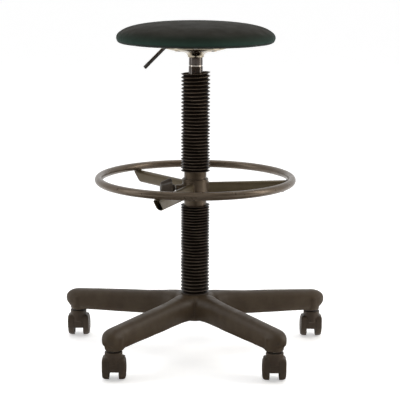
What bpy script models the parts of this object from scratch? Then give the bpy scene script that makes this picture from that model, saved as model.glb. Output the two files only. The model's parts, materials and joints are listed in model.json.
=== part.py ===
"""Adjustable swivel stool: round seat on a gas lift, clamped foot ring, five-star base on castors.

Metres, +Z up. The floor is Z = 0 and the origin is the centre of the footprint's box. The column's
axis stands at COLUMN_Y, because a five-star base reaches further back than forward.
Heights are measured from the floor, and radii from the column's axis.
"""

import math

import bmesh
import bpy
from mathutils import Matrix, Vector

# ---------------------------------------------------------------- driving dimensions
GAP = 0.0003                 # clearance between pieces that touch
TAU = math.tau

# castors
WHEEL_R = 0.025
WHEEL_STEPS = 16
WHEEL_INNER = 0.0098         # the wheels' inner faces, from the castor's middle plane
WHEEL_OUTER = 0.0255
TRAIL = 0.014                # wheel axle behind the swivel axis
HOOD_R = 0.0280
HOOD_WALL = 0.0016
HOOD_HALF_WIDTH = 0.0245
WEB_BOTTOM = 0.0200
NECK_R = 0.0172
STEM_R = 0.0055
AXLE_R = 0.0030

# five-star base
ARMS = 5
STEM_CIRCLE_R = 0.2886
FIRST_ARM = math.radians(90)
ARM_TIP_R = STEM_CIRCLE_R + 0.0290
ARM_UNDER_NEAR = 0.0800       # underside of an arm at the hub
ARM_UNDER_FAR = 0.0725        # and at the castor
BOSS_R = 0.0195
BOSS_BOTTOM = 0.0685
HUB_TOP = 0.1320
HUB_BOTTOM = 0.0780
HUB_R = 0.0410
ARM_POCKETS = (              # start, end, half width and ceiling height of each hollow under an arm
    (0.052, 0.112, 0.0150, 0.112),
    (0.116, 0.182, 0.0145, 0.109),
    (0.186, 0.256, 0.0140, 0.106),
)

# column and lift
COLUMN_R = 0.0250
COLUMN_WALL = 0.0015
COLUMN_BOTTOM = 0.0700
COLUMN_TOP = 0.4400
BUSH_LENGTH = 0.1000
BUSH_FLANGE = 0.0030
END_PLATE = (0.0745, 0.0795)
LOWER_WASHER = (0.0798, 0.0813)
BALL_CAGE = (0.0816, 0.0840)
UPPER_WASHER = (0.0843, 0.0858)
WASHER_R = 0.0130
WASHER_BORE_R = 0.0056
CAGE_R = 0.0125
CAGE_BORE_R = 0.0070
TUBE_R = 0.01575
TUBE_WALL = 0.00225
TUBE_BOTTOM = 0.2870
TAPER_FOOT = 0.6475
TAPER_R = 0.0150
TUBE_TOP = 0.6715
TUBE_CAP = 0.0040            # thickness of the tube's closed top, which the valve pin passes through
SHOULDER = 0.0004            # step of the ring between the taper and the tube
SHOULDER_LENGTH = 0.0030
SEAL_LENGTH = 0.0125
VALVE_PIN_R = 0.0040
VALVE_PIN_BOTTOM = 0.6600
ROD_R = 0.0050
ROD_END = 0.0712
ROD_CLIP = (0.0725, 0.0740)
COLLAR = (0.0861, 0.0901)
COLLAR_R = 0.0090
PISTON = (0.3005, 0.3125)
PISTON_R = 0.0128

# gaiters
GAITER_R = 0.0325
GAITER_BORE_R = 0.0262
LOWER_GAITER = (HUB_TOP + 0.0010, 0.3350)
UPPER_GAITER = (0.4125, 0.6310)

# foot ring
RING_R = 0.2156
RING_TUBE_R = 0.0088
RING_WALL = 0.0015
RING_Z = 0.3937
RING_HUB = (0.3500, 0.3950)
RING_HUB_R = 0.0295
RING_HUB_WALL = 0.0022
RING_BUSH_R = 0.0270
SPOKE_HEIGHT = 0.0270
SPOKE_WIDTH = 0.0150
SPOKE_WALL = 0.0015
SPOKE_TIP_R = 0.2250          # top corner of the slanted outer end
SPOKE_SLANT = math.radians(44)
FIRST_SPOKE = math.radians(9)
SPOKES = 3

# clamp on the ring's hub
CLAMP_AZIMUTH = math.radians(189)
CLAMP_Z = 0.3725
CLAMP_SCREW_R = 0.0038
CLAMP_PAD_R = 0.0040
CLAMP_NUT_R = 0.0085
CLAMP_NUT_END = 0.0440
CLAMP_SCREW_END = 0.0630
KNOB_START = 0.0470
KNOB_END = 0.0790
KNOB_LOBES = 6

# seat
SEAT_R = 0.1750
SEAT_RIM_Z = 0.7070          # height of the widest point
SEAT_CROWN = 0.0380          # rise of the crown above the rim
SEAT_FLAT_R = 0.0350         # level middle of the crown
SEAT_EDGE = 0.0250           # radial width of the rounded lower edge
SEAT_ROUND = 2.3             # exponent of the crown's superellipse
COVER_T = 0.0015
HEM_BOTTOM = 0.6940
HEM_R = 0.1340
BOARD_R = 0.1495
BOARD_BOTTOM = 0.6958
BOARD_TOP = 0.7078
PLATE_R = 0.0680
LIP_BOTTOM = 0.6650
LIP_R = 0.0180
SCREW_CIRCLE_R = 0.0520
SCREW_R = 0.0030
HEAD_R = 0.0055
SCREW_TOP = 0.7083
PAD_BOTTOM = 0.6845           # recessed seats in the plate for the screw heads
PAD_R = 0.0090
RECESS_R = 0.0066

# height lever
LEVER_AZIMUTH = math.radians(186)
LEVER_R = 0.0040
LEVER_Z = 0.6880
LEVER_PIVOT = 0.0300
LEVER_BEND = math.radians(45)
LEVER_BEND_R = 0.0120
LEVER_STRAIGHT = 0.0595
LEVER_DROP = 0.0580          # length of the rod after the bend
LEVER_PIN_R = 0.0020
BRACKET_T = 0.0016
SLOT_BOTTOM = 0.6770         # the lever leaves through a notch in the plate's rim

REAR_REACH = STEM_CIRCLE_R + TRAIL + WHEEL_R
FRONT_REACH = STEM_CIRCLE_R * math.sin(math.radians(54)) + 0.0260
COLUMN_Y = (FRONT_REACH - REAR_REACH) / 2

PALETTE = {
    "nylon": ((0.050, 0.042, 0.036), 0.55, 0.0),
    "castor_nylon": ((0.040, 0.034, 0.030), 0.50, 0.0),
    "painted_steel": ((0.075, 0.062, 0.052), 0.38, 0.3),
    "dark_steel": ((0.045, 0.032, 0.026), 0.22, 0.7),
    "bright_steel": ((0.62, 0.61, 0.60), 0.25, 1.0),
    "plate_steel": ((0.42, 0.38, 0.33), 0.30, 0.6),
    "rubber": ((0.012, 0.011, 0.010), 0.55, 0.0),
    "bush_plastic": ((0.55, 0.54, 0.50), 0.45, 0.0),
    "black_plastic": ((0.015, 0.015, 0.015), 0.35, 0.0),
    "leatherette": ((0.030, 0.036, 0.035), 0.50, 0.0),
    "foam": ((0.70, 0.66, 0.50), 0.90, 0.0),
    "plywood": ((0.52, 0.37, 0.22), 0.65, 0.0),
}


# ---------------------------------------------------------------- helpers
def clear_scene():
    for thing in list(bpy.data.objects):
        bpy.data.objects.remove(thing, do_unlink=True)


def new_collection(name):
    made = bpy.data.collections.new(name)
    bpy.context.scene.collection.children.link(made)
    return made


def make_materials():
    made = {}
    for name, (colour, roughness, metallic) in PALETTE.items():
        material = bpy.data.materials.new(name)
        material.use_nodes = True
        shader = material.node_tree.nodes["Principled BSDF"]
        shader.inputs["Base Color"].default_value = (*colour, 1)
        shader.inputs["Roughness"].default_value = roughness
        shader.inputs["Metallic"].default_value = metallic
        made[name] = material
    return made


def add_empty(name, parent=None, location=(0, 0, 0), turn_z=0.0):
    empty = bpy.data.objects.new(name, None)
    PARTS.objects.link(empty)
    empty.parent = parent
    empty.location = location
    empty.rotation_euler = (0, 0, turn_z)
    return empty


def add_part(name, mesh, parent, material, location=(0, 0, 0), rotation=(0, 0, 0), smooth=35):
    part = bpy.data.objects.new(name, mesh)
    PARTS.objects.link(part)
    part.parent = parent
    part.location = location
    part.rotation_euler = rotation
    if not mesh.materials:
        mesh.materials.append(MATERIALS[material])
    if smooth:
        mesh.shade_smooth()
        mesh.set_sharp_from_angle(angle=math.radians(smooth))
    return part


def as_cutter(thing):
    """Moves an object to the cutters, where it shows as wire and isn't rendered."""
    for holder in list(thing.users_collection):
        holder.objects.unlink(thing)
    CUTTERS.objects.link(thing)
    thing.hide_render = True
    thing.display_type = "WIRE"
    return thing


def boolean(target, tool, operation):
    modifier = target.modifiers.new(operation.title(), "BOOLEAN")
    modifier.operation = operation
    modifier.solver = "EXACT"
    modifier.object = tool


def cut(target, *tools):
    for tool in tools:
        boolean(target, as_cutter(tool), "DIFFERENCE")


def join(target, *tools):
    for tool in tools:
        boolean(target, as_cutter(tool), "UNION")


def profile_mesh(name, points, closed):
    """An outline of (radius, height) points, as edges in the XZ plane."""
    edges = [(i, i + 1) for i in range(len(points) - 1)]
    if closed:
        edges.append((len(points) - 1, 0))
    mesh = bpy.data.meshes.new(name)
    mesh.from_pydata([(r, 0, z) for r, z in points], edges, [])
    return mesh


def turned(name, points, parent, material, closed=False, steps=24, spin=0.0, **placing):
    """A turned piece. Points run down the outer side, then up the bore if there is one."""
    mesh = profile_mesh(name, points, closed)
    mesh.transform(Matrix.Rotation(spin, 4, "Z"))
    part = add_part(name, mesh, parent, material, smooth=0, **placing)
    screw = part.modifiers.new("Screw", "SCREW")
    screw.axis = "Z"
    screw.steps = steps
    screw.render_steps = steps
    screw.use_merge_vertices = True
    screw.merge_threshold = 0.00002
    screw.use_smooth_shade = True
    return part


def sleeve_points(outer, inner, low, high):
    return [(outer, high), (outer, low), (inner, low), (inner, high)]


def sleeve(name, outer, inner, span, parent, material, **options):
    points = sleeve_points(outer, inner, *span)
    return turned(name, points, parent, material, closed=True, **options)


def pin_points(radius, low, high):
    return [(0, high), (radius, high), (radius, low), (0, low)]


def pin(name, radius, span, parent, material, **options):
    return turned(name, pin_points(radius, *span), parent, material, **options)


def cube_mesh(name, size, centre=(0, 0, 0)):
    mesh = bpy.data.meshes.new(name)
    bm = bmesh.new()
    bmesh.ops.create_cube(bm, size=1.0, matrix=Matrix.Translation(centre) @ Matrix.Diagonal((*size, 1)))
    bm.to_mesh(mesh)
    bm.free()
    return mesh


def cylinder_mesh(name, radius, depth, centre=(0, 0, 0), segments=24, along="Z"):
    turn = {"Z": Matrix(), "X": Matrix.Rotation(TAU / 4, 4, "Y"), "Y": Matrix.Rotation(TAU / 4, 4, "X")}
    mesh = bpy.data.meshes.new(name)
    bm = bmesh.new()
    bmesh.ops.create_cone(
        bm, cap_ends=True, segments=segments, radius1=radius, radius2=radius, depth=depth,
        matrix=Matrix.Translation(centre) @ turn[along],
    )
    bm.to_mesh(mesh)
    bm.free()
    return mesh


def tool(name, mesh, parent, **placing):
    return add_part(name, mesh, parent, "bright_steel", smooth=0, **placing)


def lofted_mesh(name, rings):
    """A closed skin over sections that all have the same number of points, in the same order."""
    bm = bmesh.new()
    rows = [[bm.verts.new(point) for point in ring] for ring in rings]
    count = len(rings[0])
    for row, following in zip(rows, rows[1:]):
        for i in range(count):
            j = (i + 1) % count
            bm.faces.new((row[i], row[j], following[j], following[i]))
    bm.faces.new(rows[0])
    bm.faces.new(rows[-1])
    bmesh.ops.recalc_face_normals(bm, faces=bm.faces)
    mesh = bpy.data.meshes.new(name)
    bm.to_mesh(mesh)
    bm.free()
    return mesh


def mesh_from_curve(name, curve_object, parent, material):
    """Turns a curve into a welded mesh in the same place, and removes the curve."""
    bpy.context.view_layer.update()
    evaluated = curve_object.evaluated_get(bpy.context.evaluated_depsgraph_get())
    mesh = bpy.data.meshes.new_from_object(evaluated)
    mesh.name = name
    place = curve_object.matrix_world.copy()
    bm = bmesh.new()
    bm.from_mesh(mesh)
    bmesh.ops.remove_doubles(bm, verts=bm.verts, dist=0.00001)
    bmesh.ops.recalc_face_normals(bm, faces=bm.faces)
    bm.to_mesh(mesh)
    bm.free()
    bpy.data.objects.remove(curve_object, do_unlink=True)
    mesh.materials.clear()
    part = add_part(name, mesh, parent, material)
    part.matrix_world = place
    return part


def quarter_round(centre_r, centre_z, half_width, depth, steps, first=0.0):
    """Points of a quarter ellipse from the side (angle 0) to the bottom (a quarter turn)."""
    points = []
    for i in range(steps + 1):
        angle = first + (TAU / 4 - first) * i / steps
        points.append((centre_r + half_width * math.cos(angle), centre_z - depth * math.sin(angle)))
    return points


# ---------------------------------------------------------------- five-star base
def arm_section(r, half_width, low, high, narrow):
    """Rounded section of an arm, flat below and domed above, at distance r from the axis."""
    points = []
    for i in range(10):
        angle = TAU * (i + 0.5) / 10
        across = math.cos(angle)
        up = math.sin(angle)
        y = half_width * math.copysign(abs(across) ** 0.65, across)
        z = (low + high) / 2 + (high - low) / 2 * math.copysign(abs(up) ** 0.65, up)
        if up > 0:
            y *= narrow
        points.append((r, y, z))
    return points


def arm_mesh():
    """One arm along +X: it flares into the hub, tapers outwards and ends in a rounded tip."""
    # distance from the axis, half width, underside, top, and width of the top against the sides
    stations = [
        (0.0310, 0.0250, ARM_UNDER_NEAR, 0.1315, 0.80),
        (0.0460, 0.0315, ARM_UNDER_NEAR, 0.1310, 0.72),
        (0.0600, 0.0260, ARM_UNDER_NEAR, 0.1305, 0.76),
        (0.0780, 0.0222, 0.0793, 0.1295, 0.80),
        (0.1400, 0.0212, 0.0762, 0.1250, 0.80),
        (0.2700, 0.0200, ARM_UNDER_FAR, 0.1180, 0.82),
        (0.2950, 0.0195, ARM_UNDER_FAR, 0.1150, 0.85),
        (0.3100, 0.0165, 0.0765, 0.1080, 0.88),
        (ARM_TIP_R, 0.0100, 0.0830, 0.0980, 0.90),
    ]
    return lofted_mesh("arm", [arm_section(*station) for station in stations])


def pocket_mesh():
    """The hollow under an arm, left between its walls: pockets with ribs between them."""
    bm = bmesh.new()
    for start, end, half, high in ARM_POCKETS:
        size = (end - start, 2 * half, high)
        place = Matrix.Translation(((start + end) / 2, 0, high / 2)) @ Matrix.Diagonal((*size, 1))
        bmesh.ops.create_cube(bm, size=1.0, matrix=place)
    mesh = bpy.data.meshes.new("pockets")
    bm.to_mesh(mesh)
    bm.free()
    return mesh


def arm_azimuth(i):
    return FIRST_ARM + TAU * i / ARMS


def stem_place(i):
    azimuth = arm_azimuth(i)
    return Vector((STEM_CIRCLE_R * math.cos(azimuth), STEM_CIRCLE_R * math.sin(azimuth), 0))


def make_base(axis):
    hub = turned(
        "star_base",
        [(0, HUB_TOP), (HUB_R, HUB_TOP), (HUB_R + 0.003, 0.120), (HUB_R + 0.006, HUB_BOTTOM), (0, HUB_BOTTOM)],
        axis, "nylon", steps=24,
    )
    arm, pockets = arm_mesh(), pocket_mesh()
    boss = cylinder_mesh("boss", BOSS_R, 0.0400, (STEM_CIRCLE_R, 0, BOSS_BOTTOM + 0.0200), 14)
    for i in range(ARMS):
        turn = (0, 0, arm_azimuth(i))
        join(hub, tool(f"arm_{i}", arm, axis, rotation=turn), tool(f"boss_{i}", boss, axis, rotation=turn))
    stem_hole = cylinder_mesh("stem_hole", STEM_R + GAP, 0.0700, (STEM_CIRCLE_R, 0, 0.0700), 14)
    hollows = bmesh.new()
    hollows.from_mesh(cylinder_mesh("column_hole", COLUMN_R + GAP, 0.2, (0, 0, 0.1), 32))
    for i in range(ARMS):
        for shape in (pockets, stem_hole):
            turned_shape = shape.copy()
            turned_shape.transform(Matrix.Rotation(arm_azimuth(i), 4, "Z"))
            hollows.from_mesh(turned_shape)
    mesh = bpy.data.meshes.new("base_hollows")
    hollows.to_mesh(mesh)
    hollows.free()
    cut(hub, tool("base_hollows", mesh, axis))


# ---------------------------------------------------------------- column and lift
def make_column(axis):
    sleeve("column_tube", COLUMN_R, COLUMN_R - COLUMN_WALL, (COLUMN_BOTTOM, COLUMN_TOP), axis, "painted_steel",
           steps=32)
    inside = COLUMN_R - COLUMN_WALL - GAP
    sleeve("column_end_plate", inside, ROD_R + 0.0008, END_PLATE, axis, "bright_steel")
    sleeve("thrust_washer_lower", WASHER_R, WASHER_BORE_R, LOWER_WASHER, axis, "bright_steel", steps=16)
    sleeve("thrust_ball_cage", CAGE_R, CAGE_BORE_R, BALL_CAGE, axis, "bright_steel", steps=16)
    bore = TUBE_R + GAP
    seat = COLUMN_TOP + GAP
    foot = COLUMN_TOP - BUSH_LENGTH
    turned(
        "guide_bush",
        [(COLUMN_R, seat + BUSH_FLANGE), (COLUMN_R, seat), (inside, seat), (inside, foot), (bore, foot),
         (bore, seat + BUSH_FLANGE)],
        axis, "bush_plastic", closed=True,
    )


def make_gaiters(axis):
    sleeve("lower_gaiter", GAITER_R, GAITER_BORE_R, LOWER_GAITER, axis, "rubber")
    sleeve("upper_gaiter", GAITER_R, GAITER_BORE_R, UPPER_GAITER, axis, "rubber")


def make_rod(swivel):
    piston_bottom, piston_top = PISTON
    collar_bottom, collar_top = COLLAR
    turned(
        "piston_rod",
        [(0, piston_top), (PISTON_R, piston_top), (PISTON_R, piston_bottom), (ROD_R, piston_bottom),
         (ROD_R, collar_top), (COLLAR_R, collar_top), (COLLAR_R, collar_bottom), (ROD_R, collar_bottom),
         (ROD_R, ROD_END), (0, ROD_END)],
        swivel, "bright_steel", steps=16,
    )
    sleeve("rod_clip", COLLAR_R, ROD_R + GAP, ROD_CLIP, swivel, "bright_steel", steps=16)
    sleeve("thrust_washer_upper", WASHER_R, WASHER_BORE_R, UPPER_WASHER, swivel, "bright_steel", steps=16)


def make_lift(lift):
    bore = TUBE_R - TUBE_WALL
    shoulder_r = TAPER_R + SHOULDER
    shoulder_foot = TAPER_FOOT - SHOULDER_LENGTH
    valve_bore = VALVE_PIN_R + GAP
    cap_bottom = TUBE_TOP - TUBE_CAP
    turned(
        "pressure_tube",
        [(TAPER_R - SHOULDER, TUBE_TOP), (TAPER_R, TAPER_FOOT), (shoulder_r, TAPER_FOOT),
         (shoulder_r, shoulder_foot), (TUBE_R, shoulder_foot), (TUBE_R, TUBE_BOTTOM), (bore, TUBE_BOTTOM),
         (bore, cap_bottom), (valve_bore, cap_bottom), (valve_bore, TUBE_TOP)],
        lift, "dark_steel", closed=True,
    )
    seal_bottom = TUBE_BOTTOM + GAP
    sleeve("rod_seal", bore - GAP, ROD_R + GAP, (seal_bottom, seal_bottom + SEAL_LENGTH), lift, "black_plastic",
           steps=16)


# ---------------------------------------------------------------- seat
def dome_points(radius, rise, steps=6):
    """The crown from its top centre to its widest point: a level middle, then a superellipse."""
    top = SEAT_RIM_Z + rise
    points = [(0.0, top), (SEAT_FLAT_R, top)]
    for i in range(1, steps + 1):
        angle = TAU / 4 * i / steps
        r = radius * math.sin(angle) ** (2 / SEAT_ROUND)
        z = SEAT_RIM_Z + rise * math.cos(angle) ** (2 / SEAT_ROUND)
        points.append((r, z))
    points[-1] = (radius, SEAT_RIM_Z)
    return points


def cover_outline():
    outer = dome_points(SEAT_R, SEAT_CROWN)
    outer += quarter_round(SEAT_R - SEAT_EDGE, SEAT_RIM_Z, SEAT_EDGE, SEAT_RIM_Z - HEM_BOTTOM, 3)[1:]
    hem_top = HEM_BOTTOM + COVER_T
    inner = dome_points(SEAT_R - COVER_T, SEAT_CROWN - COVER_T)
    inner += quarter_round(SEAT_R - SEAT_EDGE, SEAT_RIM_Z, SEAT_EDGE - COVER_T, SEAT_RIM_Z - hem_top, 3)[1:]
    return outer + [(HEM_R, HEM_BOTTOM), (HEM_R, hem_top)] + inner[::-1]


def foam_outline():
    skin = COVER_T + GAP
    edge = quarter_round(SEAT_R - SEAT_EDGE, SEAT_RIM_Z, SEAT_EDGE - skin, SEAT_RIM_Z - HEM_BOTTOM - skin, 3)
    edge = [point for point in edge[1:] if point[0] > BOARD_R + 0.001]
    foot = edge[-1][1]
    above_board = BOARD_TOP + 0.0020
    return dome_points(SEAT_R - skin, SEAT_CROWN - skin) + edge + [
        (BOARD_R + 0.001, foot), (BOARD_R + 0.001, above_board), (0, above_board)]


def plate_outline():
    """Trumpet plate: rim against the board, a shallow flare, and the taper socket's lip below."""
    rim_top = BOARD_BOTTOM - GAP
    under = [(PLATE_R, rim_top), (PLATE_R, 0.6845), (0.0550, 0.6800), (0.0270, 0.6760), (0.0205, 0.6732),
             (LIP_R, 0.6690), (LIP_R, LIP_BOTTOM)]
    bore = TAPER_R + GAP
    over = [(bore, LIP_BOTTOM), (bore, 0.6735), (0.0190, 0.6762), (0.0270, 0.6780), (0.0550, 0.6820),
            (PLATE_R - 0.0020, 0.6855), (PLATE_R - 0.0020, rim_top)]
    return under + over


def screw_places():
    for i in range(4):
        angle = TAU * (i + 0.5) / 4
        yield Vector((SCREW_CIRCLE_R * math.cos(angle), SCREW_CIRCLE_R * math.sin(angle), 0))


def make_seat_plate(lift):
    plate = turned("seat_plate", plate_outline(), lift, "plate_steel", closed=True)
    pad_low, pad_high = 0.6798, BOARD_BOTTOM - GAP
    middle, height = (pad_low + pad_high) / 2, pad_high - pad_low
    for i, place in enumerate(screw_places()):
        pad = cylinder_mesh("pad", PAD_R, height, (place.x, place.y, middle), 12)
        recess = cylinder_mesh("recess", RECESS_R, 0.02, (place.x, place.y, PAD_BOTTOM - 0.01), 12)
        hole = cylinder_mesh("hole", SCREW_R + GAP, 0.04, (place.x, place.y, middle), 12)
        join(plate, tool(f"plate_pad_{i}", pad, lift))
        cut(plate, tool(f"plate_recess_{i}", recess, lift), tool(f"plate_hole_{i}", hole, lift))
    slot_height = BOARD_BOTTOM - SLOT_BOTTOM
    slot = cube_mesh("slot", (0.0220, 2 * (LEVER_R + 0.0012), slot_height), (0.0660, 0, SLOT_BOTTOM + slot_height / 2))
    cut(plate, tool("lever_slot", slot, lift, rotation=(0, 0, LEVER_AZIMUTH)))


def make_board(lift):
    board = turned("seat_board", pin_points(BOARD_R, BOARD_BOTTOM, BOARD_TOP), lift, "plywood", steps=32)
    for i, place in enumerate(screw_places()):
        hole = cylinder_mesh("screw_hole", SCREW_R + GAP, 0.05, (place.x, place.y, BOARD_TOP), 12)
        cut(board, tool(f"board_hole_{i}", hole, lift))


def make_seat_screws(lift):
    """Four machine screws, heads under the plate's pads and shanks up into the board."""
    head_top, head_bottom = PAD_BOTTOM - GAP, PAD_BOTTOM - 0.0045
    outline = [(0, SCREW_TOP), (SCREW_R, SCREW_TOP), (SCREW_R, head_top), (HEAD_R, head_top), (HEAD_R, head_bottom),
               (0, head_bottom)]
    for i, place in enumerate(screw_places()):
        turned(f"seat_screw_{i + 1}", outline, lift, "bright_steel", steps=12, location=place)


def make_seat(lift):
    make_seat_plate(lift)
    make_board(lift)
    turned("foam_pad", foam_outline(), lift, "foam", steps=32)
    turned("seat_cover", cover_outline(), lift, "leatherette", steps=32)
    make_seat_screws(lift)


# ---------------------------------------------------------------- height lever
def lever_points():
    """The rod's centreline from above the valve pin to its free end, as (outward, height)."""
    points = [Vector((-0.0040, LEVER_Z)), Vector((LEVER_STRAIGHT, LEVER_Z))]
    centre = Vector((LEVER_STRAIGHT, LEVER_Z - LEVER_BEND_R))
    for i in range(1, 6):
        angle = LEVER_BEND * i / 5
        points.append(centre + LEVER_BEND_R * Vector((math.sin(angle), math.cos(angle))))
    points.append(points[-1] + LEVER_DROP * Vector((math.cos(LEVER_BEND), -math.sin(LEVER_BEND))))
    return points


def make_lever(mount, pivot):
    curve = bpy.data.curves.new("height_lever", "CURVE")
    curve.dimensions = "3D"
    curve.bevel_depth = LEVER_R
    curve.bevel_resolution = 2
    curve.use_fill_caps = True
    spline = curve.splines.new("POLY")
    points = lever_points()
    spline.points.add(len(points) - 1)
    for slot, point in zip(spline.points, points):
        slot.co = (point.x - LEVER_PIVOT, 0, point.y - LEVER_Z, 1)
    rod = bpy.data.objects.new("height_lever_path", curve)
    PARTS.objects.link(rod)
    rod.parent = pivot
    lever = mesh_from_curve("height_lever", rod, pivot, "black_plastic")
    hole = cylinder_mesh("lever_pin_hole", LEVER_PIN_R + GAP, 0.03, segments=16, along="Y")
    cut(lever, tool("lever_pin_hole", hole, pivot))

    pin_mesh = cylinder_mesh("lever_pin", LEVER_PIN_R, 0.0154, (LEVER_PIVOT, 0, LEVER_Z), 16, "Y")
    add_part("lever_pin", pin_mesh, mount, "bright_steel")
    bracket_top = BOARD_BOTTOM - GAP
    bridge_middle = bracket_top - BRACKET_T / 2
    ear_foot = LEVER_Z - 0.0033
    ear_height = bridge_middle - ear_foot
    bridge = cube_mesh("lever_bracket", (0.0100, 0.0150, BRACKET_T), (LEVER_PIVOT, 0, bridge_middle))
    bracket = add_part("lever_bracket", bridge, mount, "bright_steel", smooth=0)
    for side in (-1, 1):
        centre = (LEVER_PIVOT, side * 0.0066, ear_foot + ear_height / 2)
        ear = cube_mesh("ear", (0.0080, BRACKET_T, ear_height), centre)
        join(bracket, tool(f"bracket_ear_{side}", ear, mount))
    ear_hole = cylinder_mesh("ear_hole", LEVER_PIN_R + GAP, 0.03, (LEVER_PIVOT, 0, LEVER_Z), 16, "Y")
    cut(bracket, tool("ear_hole", ear_hole, mount))


def make_valve_pin(lift):
    pin("valve_pin", VALVE_PIN_R, (VALVE_PIN_BOTTOM, LEVER_Z - LEVER_R - GAP), lift, "bright_steel", steps=20)


# ---------------------------------------------------------------- foot ring
def stadium(width, height, steps=4):
    """Outline of a flattened tube, as (across, up) points."""
    radius, straight = width / 2, (height - width) / 2
    points = []
    for sign, first in ((1, 0.0), (-1, TAU / 2)):
        for i in range(steps + 1):
            angle = first + TAU / 2 * i / steps
            points.append((radius * math.cos(angle), sign * straight + radius * math.sin(angle)))
    return points


def make_spoke(i, ring):
    curve = bpy.data.curves.new(f"ring_spoke_{i}", "CURVE")
    curve.dimensions = "2D"
    curve.fill_mode = "BOTH"
    length = SPOKE_TIP_R + 0.006 - 0.020
    curve.extrude = length / 2
    for shrink in (0.0, 2 * SPOKE_WALL):
        spline = curve.splines.new("POLY")
        outline = stadium(SPOKE_WIDTH - shrink, SPOKE_HEIGHT - shrink)
        spline.points.add(len(outline) - 1)
        for slot, (across, up) in zip(spline.points, outline):
            slot.co = (across, up, 0, 1)
        spline.use_cyclic_u = True
    azimuth = FIRST_SPOKE + TAU * (i - 1) / SPOKES
    mount = add_empty(f"spoke_mount_{i}", ring, turn_z=azimuth)
    blank = bpy.data.objects.new("spoke_path", curve)
    PARTS.objects.link(blank)
    blank.parent = mount
    # local X goes across, local Y up and local Z outwards
    blank.rotation_euler = (TAU / 4, 0, TAU / 4)
    top = RING_Z - RING_TUBE_R - GAP
    blank.location = (0.020 + length / 2, 0, top - SPOKE_HEIGHT / 2)
    spoke = mesh_from_curve(f"ring_spoke_{i}", blank, mount, "painted_steel")
    bore = cylinder_mesh("hub_bore", RING_HUB_R + GAP, 0.2, (0, 0, top), 48)
    slant = cube_mesh("slant", (0.06, 0.05, 0.16))
    slant_tool = tool(f"spoke_slant_{i}", slant, mount, rotation=(0, SPOKE_SLANT, 0),
                      location=(SPOKE_TIP_R + 0.03 / math.cos(SPOKE_SLANT), 0, top))
    cut(spoke, tool(f"spoke_bore_{i}", bore, mount), slant_tool)


def make_ring(slider, ring):
    sleeve("ring_bush", RING_BUSH_R, COLUMN_R + GAP, (RING_HUB[0] + 0.0005, RING_HUB[1] - 0.0005), slider,
           "black_plastic", steps=32)
    hub = sleeve("ring_hub", RING_HUB_R, RING_HUB_R - RING_HUB_WALL, RING_HUB, ring, "painted_steel", steps=32)
    hole = cylinder_mesh("clamp_hole", CLAMP_PAD_R + GAP, 0.03, (RING_HUB_R, 0, CLAMP_Z), 20, "X")
    cut(hub, tool("clamp_hole", hole, ring, rotation=(0, 0, CLAMP_AZIMUTH)))
    for i in range(1, SPOKES + 1):
        make_spoke(i, ring)

    bpy.ops.mesh.primitive_torus_add(
        major_radius=RING_R, minor_radius=RING_TUBE_R, major_segments=40, minor_segments=8)
    torus = bpy.context.object
    foot_ring = add_part("foot_ring", torus.data, ring, "painted_steel", location=(0, 0, RING_Z))
    bpy.data.objects.remove(torus, do_unlink=True)
    foot_ring.data.name = "foot_ring"
    bpy.ops.mesh.primitive_torus_add(
        major_radius=RING_R, minor_radius=RING_TUBE_R - RING_WALL, major_segments=40, minor_segments=6)
    inside = bpy.context.object
    hollow = tool("ring_hollow", inside.data, ring, location=(0, 0, RING_Z))
    bpy.data.objects.remove(inside, do_unlink=True)
    vent = cylinder_mesh("vent", 0.0020, 0.0120, (RING_R, 0, RING_Z - RING_TUBE_R), 10)
    cut(foot_ring, hollow, tool("vent", vent, ring, rotation=(0, 0, FIRST_SPOKE)))


# ---------------------------------------------------------------- clamp
def knob_mesh():
    """Lobed grip that narrows towards its outer end, with a round collar on the screw's side."""
    stations = [
        (KNOB_START, 0.0095, 0.00),
        (KNOB_START + 0.0050, 0.0095, 0.00),
        (KNOB_START + 0.0064, 0.0195, 0.05),
        (KNOB_START + 0.0090, 0.0220, 0.08),
        (KNOB_START + 0.0130, 0.0212, 0.09),
        (KNOB_END - 0.0035, 0.0150, 0.09),
        (KNOB_END - 0.0010, 0.0136, 0.08),
        (KNOB_END, 0.0115, 0.06),
    ]
    rings = []
    count = KNOB_LOBES * 4
    for z, radius, depth in stations:
        ring = []
        for i in range(count):
            angle = TAU * i / count
            reach = radius * (1 + depth * math.cos(KNOB_LOBES * angle))
            ring.append((reach * math.cos(angle), reach * math.sin(angle), z))
        rings.append(ring)
    return lofted_mesh("clamp_knob", rings)


def make_clamp(ring, pad_axis, knob_axis):
    outward = {"rotation": (0, TAU / 4, CLAMP_AZIMUTH), "location": (0, 0, CLAMP_Z)}
    here = {"rotation": (0, TAU / 4, 0)}
    sleeve("clamp_nut", CLAMP_NUT_R, CLAMP_PAD_R + GAP, (RING_HUB_R + GAP, CLAMP_NUT_END), ring, "painted_steel",
           **outward)
    pin("clamp_pad", CLAMP_PAD_R, (RING_BUSH_R + GAP, RING_HUB_R), pad_axis, "bush_plastic", steps=20, **here)
    pin("clamp_screw", CLAMP_SCREW_R, (RING_HUB_R + GAP, CLAMP_SCREW_END), knob_axis, "bright_steel", steps=20,
        **here)
    knob = add_part("clamp_knob", knob_mesh(), knob_axis, "black_plastic", **here)
    bore_depth = 2 * (CLAMP_SCREW_END + GAP - KNOB_START)
    bore = cylinder_mesh("knob_bore", CLAMP_SCREW_R + GAP, bore_depth, (0, 0, KNOB_START), 20)
    cut(knob, tool("knob_bore", bore, knob_axis, **here))


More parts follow.
